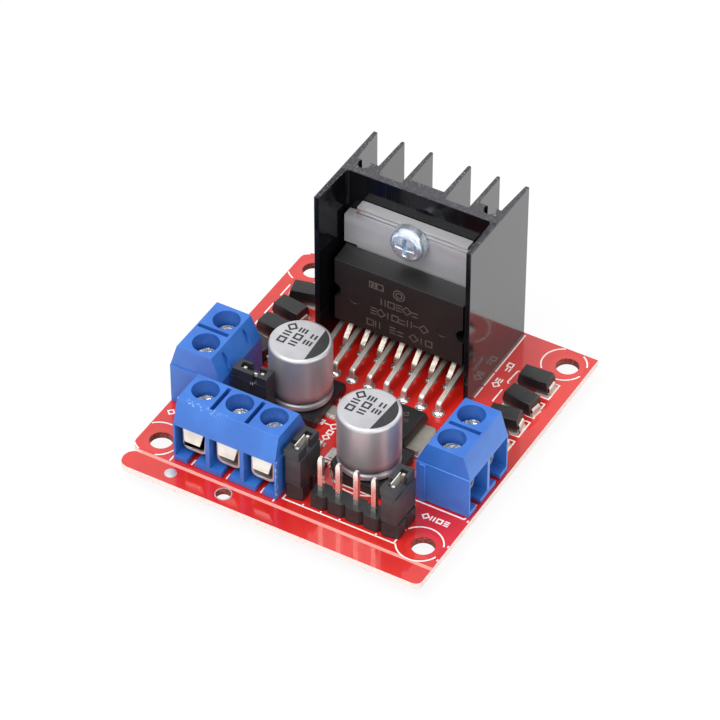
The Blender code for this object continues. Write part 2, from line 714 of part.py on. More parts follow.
def terminal_housing(name, poles):
    """A moulded housing: a sloped top over open wire bays, with a screw well in each pole."""
    side = poles * POLE_PITCH / 2
    inner = side - TERMINAL_TOP_INSET
    profile = [
        (0, 0, 0),
        (0, TERMINAL_FRONT_EDGE_Z, 0),
        (TERMINAL_TOP_FRONT_Y, TERMINAL_HEIGHT, TERMINAL_EDGE),
        (TERMINAL_TOP_BACK_Y, TERMINAL_HEIGHT, TERMINAL_EDGE),
        (TERMINAL_DEPTH, TERMINAL_BACK_EDGE_Z, TERMINAL_EDGE),
        (TERMINAL_DEPTH, 0, 0),
    ]
    base = moved(plate(name + "_blank", [rounded(profile)], 2 * inner), matrix=SECTION)
    cheeks = []
    for end in (-1, 1):
        xs = sorted((end * (inner - TERMINAL_TOP_INSET), end * side))
        cheeks.append(block((xs[0], 0, 0), (xs[1], TERMINAL_DEPTH, TERMINAL_FRONT_EDGE_Z)))
    rib = block((-side - KEY_DEPTH, KEY_Y, 0), (-inner, KEY_Y + KEY_WIDTH, KEY_TOP))
    groove = block((side - KEY_DEPTH, KEY_Y, -CUT), (side + CUT, KEY_Y + KEY_WIDTH, KEY_TOP))
    cheeks.append(rib)
    cuts = [groove]
    bay = WIRE_WIDTH / 2
    eye = lens()
    for x in pole_places(poles):
        cuts.append(block((x - bay, -CUT, FLOOR_HEIGHT), (x + bay, FRONT_WALL + SEAT_GAP, WIRE_TOP)))
        cuts.append(block((x - bay, FRONT_WALL, FLOOR_HEIGHT), (x + bay, CHAMBER_BACK_Y, CHAMBER_TOP)))
        well = ((x, WELL_Y, CHAMBER_TOP - SEAT_GAP), (x, WELL_Y, TERMINAL_HEIGHT + CUT))
        cuts.append(rod(WELL_RADIUS, *well, WELL_SIDES))
        slot = FLOOR_SLOT_WIDTH / 2
        cuts.append(block((x - slot, -CUT, -CUT), (x + slot, FLOOR_SLOT_DEPTH, FLOOR_HEIGHT + SEAT_GAP)))
        cuts.append(moved(eye, x=x))
    for x in pole_places(poles)[1:]:
        middle = x - POLE_PITCH / 2
        low = (middle - PARTING_WIDTH / 2, PARTING_FRONT_Y, TERMINAL_HEIGHT - PARTING_DEPTH)
        high = (middle + PARTING_WIDTH / 2, PARTING_BACK_Y, TERMINAL_HEIGHT + CUT)
        cuts.append(block(low, high))
    return shaped(name, base, joins=cheeks, cuts=cuts)


def wire_clamp(front_y, leaf_top_y, leaf_tip_y):
    """One pole's cage with its tapered leaf and its solder pin."""
    side = CAGE_WIDTH / 2
    wall = CAGE_WALL
    rings = []
    for inset in (0, wall):
        low_corner = CAGE_CORNER - inset
        top_corner = CAGE_TOP_CORNER - inset
        rings.append(
            rounded(
                [
                    (side - inset, CAGE_BOTTOM + inset, low_corner),
                    (side - inset, CAGE_TOP - inset, top_corner),
                    (-side + inset, CAGE_TOP - inset, top_corner),
                    (-side + inset, CAGE_BOTTOM + inset, low_corner),
                ]
            )
        )
    length = CAGE_BACK_Y - front_y
    cage = moved(plate("cage", rings, length), y=front_y + length / 2, matrix=ELEVATION)
    fall = CAGE_TOP - LEAF_TIP_Z
    run = leaf_top_y - leaf_tip_y
    slant = math.hypot(fall, run)
    top = LEAF_TOP_WIDTH / 2
    tip = LEAF_TIP_WIDTH / 2
    trapezium = [(top, slant - wall / 2), (-top, slant - wall / 2), (-tip, 0), (tip, 0)]
    lean = Matrix.Rotation(math.pi / 2 - math.atan2(run, fall), 4, "X")
    leaf = moved(plate("leaf", [trapezium], LEAF_THICKNESS), y=leaf_tip_y, z=LEAF_TIP_Z, matrix=lean)
    half_pin = Vector((SOLDER_PIN_WIDTH / 2, SOLDER_PIN_DEPTH / 2))
    pin = block(
        (-half_pin.x, WELL_Y - half_pin.y, TAIL_Z - SEAT_GAP),
        (half_pin.x, WELL_Y + half_pin.y, CAGE_BOTTOM + wall / 2),
    )
    tapping = ((0, WELL_Y, CAGE_TOP - 2 * wall), (0, WELL_Y, CAGE_TOP + CUT))
    thread = rod(CLAMP_SCREW_RADIUS + THREAD_CLEARANCE, *tapping, SHANK_SIDES)
    return shaped("clamp", cage, joins=[leaf, pin], cuts=[thread])


def clamp_screw():
    """A screw with a domed, slotted head, its origin on its axis at the cage's top."""
    head_low = SEAT_GAP
    head_high = CLAMP_SCREW_HEAD_TOP - CAGE_TOP
    profile = dome(CLAMP_SCREW_HEAD_RADIUS, head_high - CLAMP_SCREW_CROWN, head_high)
    profile += [
        (CLAMP_SCREW_HEAD_RADIUS, head_low),
        (CLAMP_SCREW_RADIUS, head_low),
        (CLAMP_SCREW_RADIUS, -CLAMP_SCREW_LENGTH),
        (0, -CLAMP_SCREW_LENGTH),
    ]
    long = CLAMP_SLOT_LENGTH / 2
    wide = CLAMP_SLOT_WIDTH / 2
    floor = head_high - CLAMP_SLOT_DEPTH
    slots = [
        block((-long, -wide, floor), (long, wide, head_high + CUT)),
        block((-wide, -long, floor), (wide, long, head_high + CUT)),
    ]
    return shaped("clamp_screw", turned("clamp_screw_blank", profile, SHANK_SIDES), cuts=slots)


def terminals(datum_point):
    """Three terminal blocks along the board's edges. Gives the holes for their solder pins."""
    blue = finish("blue_plastic", (0.06, 0.2, 0.74), 0.4)
    nickel = finish("clamp_nickel", (0.66, 0.62, 0.54), 0.3, 1.0)
    zinc = finish("clamp_screw_zinc", (0.6, 0.61, 0.6), 0.3, 1.0)
    front = -MAIN_DEPTH / 2 + POWER_SETBACK
    right = BOARD_WIDTH / 2 - RIGHT_SETBACK
    left = -BOARD_WIDTH / 2 + LEFT_SETBACK
    two_pole = terminal_housing("two_pole", 2)
    three_pole = terminal_housing("three_pole", 3)
    blocks = (
        ("power_terminal", three_pole, 3, (POWER_X, front), 0),
        ("right_output_terminal", two_pole, 2, (right, RIGHT_Y), 90),
        ("left_output_terminal", two_pole, 2, (left, LEFT_Y), -90),
    )
    clamp = wire_clamp(CAGE_FRONT_Y, LEAF_TOP_Y, LEAF_TIP_Y)
    deep_clamp = wire_clamp(DEEP_CAGE_FRONT_Y, DEEP_LEAF_Y, DEEP_LEAF_Y)
    clamps = {"power_terminal": clamp, "right_output_terminal": deep_clamp, "left_output_terminal": clamp}
    screw = clamp_screw()
    holes = []
    number = 0
    for name, housing, poles, (x, y), turn in blocks:
        seat = datum(name, (x, y, SEAT_GAP), turn, datum_point)
        part(name + "_housing", housing, blue, seat)
        place = Matrix.Translation((x, y, 0)) @ Matrix.Rotation(math.radians(turn), 4, "Z")
        for pole_x in pole_places(poles):
            number += 1
            part(f"terminal_clamp_{number}", clamps[name], nickel, seat, (pole_x, 0, 0))
            part(f"terminal_screw_{number}", screw, zinc, seat, (pole_x, WELL_Y, CAGE_TOP))
            pin = place @ Vector((pole_x, WELL_Y, 0))
            holes.append(tail_hole(pin.x, pin.y, SOLDER_PIN_WIDTH, SOLDER_PIN_DEPTH))
    return holes


# Pin headers and jumper caps
def header_outline(poles):
    """Outline of a header's plastic, nicked between its poles."""
    half = HEADER_DEPTH / 2
    front = []
    for index in range(poles):
        left = (index - poles / 2) * PIN_PITCH
        right = left + PIN_PITCH
        front.append((left + HEADER_NOTCH, -half))
        front.append((right - HEADER_NOTCH, -half))
        front.append((right, -half + HEADER_NOTCH))
    return front + [(-x, -y) for x, y in front]


def header(name, poles):
    """A row of square pins through a plastic strip."""
    blank = plate(name + "_strip", [header_outline(poles)], HEADER_HEIGHT - SEAT_GAP)
    strip = moved(blank, z=(HEADER_HEIGHT + SEAT_GAP) / 2)
    side = PIN_WIDTH / 2
    pins = []
    for index in range(poles):
        x = (index - (poles - 1) / 2) * PIN_PITCH
        pins.append(block((x - side, -side, TAIL_Z), (x + side, side, PIN_TIP_Z)))
    return shaped(name, strip, joins=pins)


def jumper_cap():
    """A hollow cap with a flange, waisted at the middle, open from below to its top."""
    low_z = HEADER_HEIGHT + SEAT_GAP
    flange_z = CAP_TOP - CAP_FLANGE_HEIGHT
    length = CAP_LENGTH / 2
    depth = CAP_DEPTH / 2
    inner_length = length - CAP_FLANGE_REACH
    inner_depth = depth - CAP_FLANGE_REACH
    body = block((-inner_length, -inner_depth, low_z), (inner_length, inner_depth, CAP_TOP - SEAT_GAP))
    flange = block((-length, -depth, flange_z), (length, depth, CAP_TOP))
    waist = CAP_WAIST_LENGTH / 2
    cuts = []
    for side in (-depth, depth):
        low = (-waist, side - CAP_WAIST_DEPTH, flange_z - CUT)
        cuts.append(block(low, (waist, side + CAP_WAIST_DEPTH, CAP_TOP + CUT)))
    room = PIN_WIDTH / 2 + CAP_PIN_CLEARANCE
    slot = PIN_PITCH / 2 + room
    cuts.append(block((-slot, -room, 0), (slot, room, CAP_TOP + CUT)))
    return shaped("jumper_cap", body, joins=[flange], cuts=cuts)


def headers(datum_point):
    """The input header and three headers that carry jumper caps. Gives the holes for their pins."""
    black = finish("header_plastic", (0.02, 0.02, 0.021), 0.55)
    cap_black = finish("cap_plastic", (0.025, 0.025, 0.026), 0.5)
    two_pins = header("two_pin_header", 2)
    cap = jumper_cap()
    rows = [("input_header", INPUT_X, INPUT_Y, 0, INPUT_PINS)]
    rows.append(("left_enable", ENABLE_LEFT_X, ENABLE_Y, 90, 2))
    rows.append(("right_enable", ENABLE_RIGHT_X, ENABLE_Y, 90, 2))
    rows.append(("supply_jumper", SUPPLY_JUMPER_X, SUPPLY_JUMPER_Y, 0, 2))
    holes = []
    for name, x, y, turn, pins in rows:
        if pins == 2:
            part(name + "_header", two_pins, black, datum_point, (x, y, 0), turn)
            part(name + "_cap", cap, cap_black, datum_point, (x, y, 0), turn)
        else:
            part(name, header("input_pin_header", pins), black, datum_point, (x, y, 0), turn)
        place = Matrix.Translation((x, y, 0)) @ Matrix.Rotation(math.radians(turn), 4, "Z")
        for index in range(pins):
            pin = place @ Vector(((index - (pins - 1) / 2) * PIN_PITCH, 0, 0))
            holes.append(tail_hole(pin.x, pin.y, PIN_WIDTH, PIN_WIDTH))
    return holes


# Capacitors
def can_profile():
    """Half section of a can: rounded rim, wall, crimp and the bulge under it."""
    floor = CAN_BASE_HEIGHT + SEAT_GAP
    waist = CAN_RADIUS - CRIMP_DEPTH
    rim = CAN_RADIUS - CAN_RIM
    profile = [(0, CAN_TOP)]
    for step in range(ARC_STEPS + 1):
        turn = math.pi / 2 * step / ARC_STEPS
        profile.append((rim + CAN_RIM * math.sin(turn), CAN_TOP - CAN_RIM + CAN_RIM * math.cos(turn)))
    profile.append((CAN_RADIUS, CRIMP_HIGH_Z))
    profile.append((waist, (CRIMP_HIGH_Z + CRIMP_LOW_Z) / 2 + CRIMP_FLAT / 2))
    profile.append((waist, (CRIMP_HIGH_Z + CRIMP_LOW_Z) / 2 - CRIMP_FLAT / 2))
    profile.append((CAN_RADIUS, CRIMP_LOW_Z))
    profile.append((CAN_RADIUS, floor + CRIMP_DEPTH))
    profile.append((waist, floor))
    profile.append((0, floor))
    return profile


def can_base():
    """The square foot of a can, two corners cut off, with a flat lead out of each side."""
    side = CAN_BASE_WIDTH / 2
    chamfer = CAN_BASE_CHAMFER
    edge = [
        (side, -side),
        (side, side),
        (-side + chamfer, side),
        (-side, side - chamfer),
        (-side, -side + chamfer),
        (-side + chamfer, -side),
    ]
    low_z = SEAT_GAP + CAN_LIFT
    base = moved(plate("can_foot", [edge], CAN_BASE_HEIGHT - low_z), z=(CAN_BASE_HEIGHT + low_z) / 2)
    leads = []
    for end in (-1, 1):
        xs = sorted((end * (side - CAN_BASE_CHAMFER), end * CAN_LEAD_REACH))
        low = (xs[0], -CAN_LEAD_WIDTH / 2, SEAT_GAP)
        leads.append(block(low, (xs[1], CAN_LEAD_WIDTH / 2, SEAT_GAP + CAN_LEAD_THICKNESS)))
    return shaped("can_base", base, joins=leads)


def capacitors(datum_point):
    """Two surface-mounted cans on their square feet."""
    aluminium = finish("can_aluminium", (0.55, 0.54, 0.57), 0.35, 0.9)
    black = finish("foot_plastic", (0.015, 0.015, 0.016), 0.45)
    can = turned("can", can_profile(), CAN_SIDES)
    base = can_base()
    places = (("left_capacitor", FIRST_CAN_X, FIRST_CAN_Y), ("right_capacitor", SECOND_CAN_X, SECOND_CAN_Y))
    for name, x, y in places:
        part(name + "_can", can, aluminium, datum_point, (x, y, 0))
        part(name + "_base", base, black, datum_point, (x, y, 0))


# Diodes
def diode_mesh():
    """A moulded body, widest at its parting line, with a strip bent under it at each end."""
    long = DIODE_LENGTH / 2
    wide = DIODE_WIDTH / 2
    low_z = 2 * SEAT_GAP
    upper = block((-long, -wide, DIODE_PARTING_Z - SEAT_GAP), (long, wide, DIODE_HEIGHT), DIODE_DRAFT)
    lower = block((-long, -wide, low_z), (long, wide, DIODE_PARTING_Z), DIODE_DRAFT, Vector((0, 0, -1)))
    middle = DIODE_LEAD_THICKNESS / 2
    reach = long + DIODE_LEAD_REACH - middle
    path = [
        (long - DIODE_FOOT / 2, DIODE_PARTING_Z, 0),
        (reach, DIODE_PARTING_Z, 0),
        (reach, SEAT_GAP + middle, 0),
        (long - DIODE_FOOT, SEAT_GAP + middle, 0),
    ]
    strip = ribbon("diode_lead", path, DIODE_LEAD_WIDTH, DIODE_LEAD_THICKNESS)
    strip.transform(ELEVATION)
    other = moved(strip, matrix=Matrix.Rotation(math.pi, 4, "Z"))
    return shaped("diode", lower, joins=[upper, strip, other])


def diodes(datum_point):
    """Eight diodes, each turned a little as it was soldered."""
    epoxy = finish("diode_epoxy", (0.018, 0.017, 0.018), 0.45)
    mesh = diode_mesh()
    for number, (x, y, turn) in enumerate(DIODE_PLACES, 1):
        part(f"diode_{number}", mesh, epoxy, datum_point, (x, y, 0), turn)


# Voltage regulator
def regulator(datum_point):
    """A drafted body over a metal slug, with two bent leads and the stub of a third."""
    seat = datum("regulator", (REGULATOR_X, REGULATOR_Y, 0), parent=datum_point)
    long = REGULATOR_LENGTH / 2
    wide = REGULATOR_WIDTH / 2
    low_z = SLUG_THICKNESS + 2 * SEAT_GAP
    base = block((-long, -wide, low_z), (long, wide, REGULATOR_TOP), REGULATOR_DRAFT)
    foot_z = SEAT_GAP + REGULATOR_LEAD_THICKNESS / 2
    path = [
        (-long + REGULATOR_DRAFT, REGULATOR_LEAD_Z, 0),
        (-long - REGULATOR_STUB_REACH, REGULATOR_LEAD_Z, 0),
        (-long - 2 * REGULATOR_STUB_REACH, foot_z, 0),
        (-long - REGULATOR_LEAD_REACH, foot_z, 0),
    ]
    joins = []
    for y, corners in ((-REGULATOR_LEAD_PITCH, path), (0, path[:2]), (REGULATOR_LEAD_PITCH, path)):
        strip = ribbon("regulator_lead", corners, REGULATOR_LEAD_WIDTH, REGULATOR_LEAD_THICKNESS)
        joins.append(moved(strip, y=y, matrix=ELEVATION))
    epoxy = finish("regulator_epoxy", (0.02, 0.02, 0.02), 0.45)
    part("regulator_body", shaped("regulator_case", base, joins=joins), epoxy, seat)
    slug = block(
        (long - SLUG_UNDER, -SLUG_WIDTH / 2, SEAT_GAP),
        (long + SLUG_REACH, SLUG_WIDTH / 2, SEAT_GAP + SLUG_THICKNESS),
    )
    tin = finish("regulator_tin", (0.5, 0.48, 0.45), 0.35, 1.0)
    part("regulator_tab", slug, tin, seat)


# Indicator and resistor
def chip_part(name, height):
    """A small block with slightly proud metal ends, lying along Y."""
    wide = CHIP_PART_WIDTH / 2
    long = CHIP_PART_LENGTH / 2
    step = CHIP_PART_STEP
    base = block((-wide, -long + step, SEAT_GAP + step), (wide, long - step, height))
    ends = []
    for end in (-1, 1):
        ys = sorted((end * (long - CHIP_PART_END), end * long))
        ends.append(block((-wide - step, ys[0], SEAT_GAP), (wide + step, ys[1], height + step)))
    return shaped(name, base, joins=ends)


def small_parts(datum_point):
    """The indicator and the resistor beside it."""
    lens_plastic = finish("indicator_resin", (0.75, 0.72, 0.6), 0.3)
    ceramic = finish("resistor_ceramic", (0.03, 0.03, 0.03), 0.5)
    indicator = chip_part("indicator_case", INDICATOR_HEIGHT)
    resistor = chip_part("resistor_case", RESISTOR_HEIGHT)
    part("indicator_led", indicator, lens_plastic, datum_point, (INDICATOR_X, INDICATOR_Y, 0))
    part("resistor", resistor, ceramic, datum_point, (RESISTOR_X, RESISTOR_Y, 0))


empty_scene()
centre = datum("mounting_centre", (0, RAIL_DEPTH / 2, -TAIL_Z))
tail_holes = heatsink(centre) + driver_chip(centre) + terminals(centre) + headers(centre)
board(centre, tail_holes)
heatsink_screw(centre)
capacitors(centre)
diodes(centre)
regulator(centre)
small_parts(centre)
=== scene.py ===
import math

import bmesh
import bpy
import numpy as np
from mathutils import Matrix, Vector


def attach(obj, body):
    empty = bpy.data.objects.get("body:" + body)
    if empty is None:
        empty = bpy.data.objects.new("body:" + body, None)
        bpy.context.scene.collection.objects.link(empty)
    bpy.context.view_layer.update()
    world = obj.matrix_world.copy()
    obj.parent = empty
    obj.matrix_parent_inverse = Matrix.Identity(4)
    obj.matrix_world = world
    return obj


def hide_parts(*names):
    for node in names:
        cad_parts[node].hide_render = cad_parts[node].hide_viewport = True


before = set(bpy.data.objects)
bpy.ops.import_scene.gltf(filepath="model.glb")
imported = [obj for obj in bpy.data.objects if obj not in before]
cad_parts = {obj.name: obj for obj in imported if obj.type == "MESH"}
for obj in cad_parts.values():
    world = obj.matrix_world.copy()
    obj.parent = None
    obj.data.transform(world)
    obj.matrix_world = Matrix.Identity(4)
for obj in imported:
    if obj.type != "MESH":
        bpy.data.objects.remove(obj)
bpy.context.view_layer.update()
scene = bpy.context.scene
scene.view_settings.view_transform = "Standard"
random = np.random.default_rng(7)
# Middle of the mounting holes on the board's top face: lengths below are in mm from there
datum = np.array((0, 1.625, 3.2))
# Steps between pins and between the chip's leads, and how deep paint and pads dip into what carries them
pinPitch = 2.54
leadPitch = 1.27
dip = 0.02

# Places that several stages share: x, y, degrees of turn, and a header's number of pins
screwPlaces = (
    (-13.26, -17.175, 17),
    (-8.26, -17.175, 41),
    (-3.26, -17.175, 68),
    (17.6, -9.5, 70),
    (17.6, -4.5, 5),
    (-17.85, -4.6, 47),
    (-17.85, -9.6, 15),
)
headers = (
    ("input_header", 8.09, -18.65, 0, 4),
    ("left_enable_header", 0.95, -17.5, 90, 2),
    ("right_enable_header", 14.6, -17.5, 90, 2),
    ("supply_jumper_header", -11.05, -9.2, 0, 2),
)
canPlaces = (("left_capacitor", -7.45, -3.7, 4), ("right_capacitor", 6.4, -10.4, -3))


# Surfaces: each is its points and the blocks of faces between them
# Quads between neighbours of a grid, corner (i, j) being point i * columns + j, columns closed to a ring
def gridQuads(rows, columns):
    row = np.arange(rows - 1)[:, None] * columns
    column = np.arange(columns)[None, :]
    after = (column + 1) % columns
    corners = (row + column, row + after, row + columns + after, row + columns + column)
    return np.stack([corner.ravel() for corner in corners], axis=-1)


# Skin over rings of points, its first and last ring closed by flat faces
def skin(rings, capped=True):
    rows, columns = rings.shape[:2]
    faces = [gridQuads(rows, columns)]
    if capped:
        faces += [np.arange(columns)[None, :], np.arange((rows - 1) * columns, rows * columns)[None, :]]
    return rings.reshape(-1, 3), faces


# Turned surface: point (r cos a, r sin a, z) for each (r, z) of the profile and each angle a
def revolve(profile, sides, centre=(0, 0, 0)):
    profile = np.array(profile, float)
    angle = np.arange(sides) * 2 * math.pi / sides
    radius = profile[:, :1]
    height = np.repeat(profile[:, 1:], sides, axis=1)
    rings = np.stack([radius * np.cos(angle), radius * np.sin(angle), height], axis=-1)
    return skin(rings + np.array(centre, float), capped=False)


# Way of each corner when a line moves left by one: (nA + nB) / (1 + nA . nB), n being its edges' normals
def mitres(line, closed=True):
    ahead = np.roll(line, -1, axis=0) - line
    if not closed:
        ahead[-1] = ahead[-2]
    ahead /= np.linalg.norm(ahead, axis=1)[:, None]
    after = np.column_stack([-ahead[:, 1], ahead[:, 0]])
    before = np.roll(after, 1, axis=0)
    if not closed:
        before[0] = after[0]
    return (before + after) / np.maximum(1 + (before * after).sum(axis=1), 0.4)[:, None]


# Outline moved inwards by its mitres, to the left where its area sum(x y' - x' y) / 2 is positive
def inset(outline, distance):
    outline = np.array(outline, float)
    after = np.roll(outline, -1, axis=0)
    area = (outline[:, 0] * after[:, 1] - after[:, 0] * outline[:, 1]).sum()
    return outline + mitres(outline) * np.sign(area) * distance


# Rings of points (x, y, z) from outlines of points (x, y), each with its height z
def levelled(outlines):
    return np.array([np.column_stack([outline, np.full(len(outline), z)]) for outline, z in outlines])


# Outline carried through levels, each a height and how far in the outline lies there
def tower(outline, levels):
    return skin(levelled([(inset(outline, depth), z) for z, depth in levels]))


# Flat outline raised from low to high, its upper edge rounded off
def raised(outline, low, high, edge=0.0):
    if not edge:
        return tower(outline, [(low, 0), (high, 0)])
    return tower(outline, [(low, 0), (high - edge, 0), (high - 0.3 * edge, 0.3 * edge), (high, edge)])


# Corners of a rectangle
def rectangle(x, y, width, depth):
    return np.array(((-1, -1), (1, -1), (1, 1), (-1, 1))) * (width / 2, depth / 2) + (x, y)


# Box with round edges: a ball of the edge's radius, pulled apart at its middle planes
def roundedBox(low, high, radius, steps=3):
    low, high = np.array(low, float), np.array(high, float)
    middle, half = (low + high) / 2, (high - low) / 2 - radius
    quarter = np.linspace(0, math.pi / 2, steps + 1)
    around = np.concatenate([quarter + turn * math.pi / 2 for turn in range(4)])
    sideX = np.repeat((1, -1, -1, 1), steps + 1)
    sideY = np.repeat((1, 1, -1, -1), steps + 1)
    up = np.concatenate([quarter - math.pi / 2, quarter])[:, None]
    sideZ = np.repeat((-1, 1), steps + 1)[:, None]
    x = radius * np.cos(up) * np.cos(around) + sideX * half[0]
    y = radius * np.cos(up) * np.sin(around) + sideY * half[1]
    z = np.broadcast_to(radius * np.sin(up) + sideZ * half[2], x.shape)
    return skin(np.stack([x, y, z], axis=-1) + middle)


# Section carried along a path in the plane of x and z: path point + a * side + b * (direction x side)
def sweep(path, section):
    section, side = np.array(section), np.array((0.0, 1.0, 0.0))
    along = np.gradient(path, axis=0)
    along /= np.linalg.norm(along, axis=1)[:, None]
    up = np.cross(along, side)
    rings = path[:, None] + section[None, :, :1] * side + section[None, :, 1:] * up[:, None]
    return skin(rings)


# Path through corners, each rounded by the curve (1-t)^2 A + 2t(1-t) corner + t^2 B
def bentPath(corners, radius, steps=5):
    corners = np.array(corners, float)
    share = np.linspace(0, 1, steps)[:, None]
    points = [corners[:1]]
    for before, corner, after in zip(corners, corners[1:], corners[2:]):
        start = corner + (before - corner) * radius / np.linalg.norm(before - corner)
        end = corner + (after - corner) * radius / np.linalg.norm(after - corner)
        points.append((1 - share) ** 2 * start + 2 * share * (1 - share) * corner + share ** 2 * end)
    return np.concatenate(points + [corners[-1:]])


# Rectangle with its corners cut off, as eight points
def cutRectangle(width, depth, cut):
    x, y = width / 2, depth / 2
    upper = [(x - cut, y), (cut - x, y), (-x, y - cut), (-x, cut - y)]
    return upper + [(-across, -along) for across, along in upper]


# Section of a strip of metal, its corners cut by a fifth of its thickness
def stripSection(width, thickness):
    return cutRectangle(width, thickness, thickness / 5)[::-1]


# Flat stroke along a line, as far to each side of it as its mitres times half the width
def stroke(line, width, low=-dip, high=0.018):
    line = np.array(line, float)
    closed = np.allclose(line[0], line[-1])
    if closed:
        line = line[:-1]
    aside = mitres(line, closed) * width / 2
    left, right = line + aside, line - aside
    rings = levelled([(left, low), (right, low), (right, high), (left, high)]).swapaxes(0, 1)
    if closed:
        rings = np.concatenate([rings, rings[:1]])
    return skin(rings, capped=not closed)


# Matrix that turns points (x, y) by an angle a in degrees: rows (cos a, sin a) and (-sin a, cos a)
def turning(degrees):
    cosine, sine = math.cos(math.radians(degrees)), math.sin(math.radians(degrees))
    return np.array(((cosine, sine), (-sine, cosine)))


# Points on an arc between two angles in degrees: (x + r cos a, y + r sin a)
def arc(x, y, radius, start, end, steps=24):
    angle = np.radians(np.linspace(start, end, steps))
    return np.column_stack([x + radius * np.cos(angle), y + radius * np.sin(angle)])


# Lines of a plain mark that says nothing, about one unit tall
def plainMark(kind, x, y, size, turn=0.0):
    shapes = {
        "diamond": [arc(0, 0, 0.5, 0, 360, 5)],
        "square": [arc(0, 0, 0.5, 45, 405, 5)],
        "bars": [[(-0.22, -0.42), (-0.22, 0.42)], [(0.22, -0.42), (0.22, 0.42)]],
        "stack": [[(-0.35, 0.36), (0.35, 0.36)], [(-0.35, 0), (0.35, 0)], [(-0.35, -0.36), (0.35, -0.36)]],
        "bar": [[(0, -0.42), (0, 0.42)]],
        "dash": [[(-0.35, 0), (0.35, 0)]],
        "gate": [[(-0.35, 0.1), (0.35, 0.1)], [(-0.35, -0.36), (0.35, -0.36)]],
    }
    return [np.array(line, float) * size @ turning(turn) + (x, y) for line in shapes[kind]]


# Row of plain marks from a start along an angle, their kinds in words, turned by the slant or that angle
def markRow(kinds, x, y, size, pitch, turn=0.0, slant=None):
    slant = turn if slant is None else slant
    step = turning(turn)[0] * pitch
    lines = []
    for index, kind in enumerate(kinds.split()):
        lines += plainMark(kind, x + step[0] * index, y + step[1] * index, size, slant)
    return lines


# Points turned about the upright axis by degrees, then moved
def place(surface, x, y, z=0.0, turn=0.0):
    points, faces = surface
    return np.column_stack([points[:, :2] @ turning(turn), points[:, 2]]) + (x, y, z), faces


# Several surfaces turned and moved alike
def placed(surfaces, x, y, turn=0.0):
    return [place(surface, x, y, 0, turn) for surface in surfaces]


# A surface whose upright axis becomes the one towards the front: (x, y, z) to (x, -z, y)
def facing(surface, x, y, z):
    points, faces = surface
    return np.column_stack([points[:, 0], -points[:, 2], points[:, 1]]) + np.array((x, y, z), float), faces


# Smooth step from 0 to 1 as a value goes from low to high: t^2 (3 - 2t)
def ease(value, low, high):
    share = np.clip((value - low) / (high - low), 0, 1)
    return share ** 2 * (3 - 2 * share)


# All surfaces as one list of points and one of faces
def together(surfaces):
    first = np.cumsum([0] + [len(points) for points, _ in surfaces])
    faces = []
    for start, (_, blocks) in zip(first, surfaces):
        for block in blocks:
            faces += (block + start).tolist()
    return np.concatenate([points for points, _ in surfaces]), faces


# Makes one piece of the surfaces, smooth but for its edges sharper than an angle
def makePiece(name, surfaces, material, replaces=(), body="module", sharp=32):
    points, faces = together(surfaces)
    mesh = bpy.data.meshes.new(name)
    mesh.from_pydata(((points + datum) / 1000).tolist(), [], faces)
    work = bmesh.new()
    work.from_mesh(mesh)
    bmesh.ops.remove_doubles(work, verts=work.verts, dist=1e-7)
    bmesh.ops.recalc_face_normals(work, faces=work.faces)
    work.to_mesh(mesh)
    work.free()
    mesh.shade_smooth()
    mesh.set_sharp_from_angle(angle=math.radians(sharp))
    mesh.materials.append(material)
    piece = bpy.data.objects.new(name, mesh)
    scene.collection.objects.link(piece)
    piece.modifiers.new("even_shading", "WEIGHTED_NORMAL").keep_sharp = True
    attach(piece, body)
    if replaces:
        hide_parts(*replaces)


# Materials
# Screen colour of six digits, two for each channel c, as linear light: ((c / 255 + 0.055) / 1.055) ^ 2.4
def light(colour):
    channels = (int(colour[start:start + 2], 16) for start in (0, 2, 4))
    return tuple(((channel / 255 + 0.055) / 1.055) ** 2.4 for channel in channels) + (1,)


# One shader node with its inputs set or joined
def put(tree, kind, inputs=None, **settings):
    made = tree.nodes.new("ShaderNode" + kind)
    for key, value in settings.items():
        setattr(made, key, value)
    for key, value in (inputs or {}).items():
        if isinstance(value, bpy.types.NodeSocket):
            tree.links.new(value, made.inputs[key])
        else:
            made.inputs[key].default_value = value
    return made


# Arithmetic on sockets and numbers, by a node beside those of the sockets
def reckon(operation, *values):
    tree = next(value.id_data for value in values if isinstance(value, bpy.types.NodeSocket))
    return put(tree, "Math", dict(enumerate(values)), operation=operation).outputs[0]


# Product of several factors
def product(*values):
    result = values[0]
    for value in values[1:]:
        result = reckon("MULTIPLY", result, value)
    return result


# Distance of a value from a level: |value - level|
def distance(value, level):
    return reckon("ABSOLUTE", reckon("SUBTRACT", value, level))


# Smooth ramp from a to b: a + (b - a) t^2 (3 - 2t), t being the value's share between low and high
def ramp(value, low, high, toLow=0.0, toHigh=1.0):
    inputs = {"Value": value, "From Min": low, "From Max": high, "To Min": toLow, "To Max": toHigh}
    return put(value.id_data, "MapRange", inputs, interpolation_type="SMOOTHSTEP").outputs[0]


# Colour between two, each a socket or a screen colour: first + (second - first) times the factor
def blend(factor, *colours):
    first, second = (light(colour) if isinstance(colour, str) else colour for colour in colours)
    return put(factor.id_data, "Mix", {0: factor, 6: first, 7: second}, data_type="RGBA").outputs[2]


# Noise of a size per mm, drawn out by the stretch
def noise(tree, scale, stretch=(1, 1, 1), detail=3.0, rough=0.5):
    where = put(tree, "TexCoord").outputs["Object"]
    spot = put(tree, "Mapping", {"Vector": where, "Scale": tuple(1000 * size for size in stretch)}).outputs[0]
    inputs = {"Vector": spot, "Scale": scale, "Detail": detail, "Roughness": rough}
    return put(tree, "TexNoise", inputs).outputs[0]


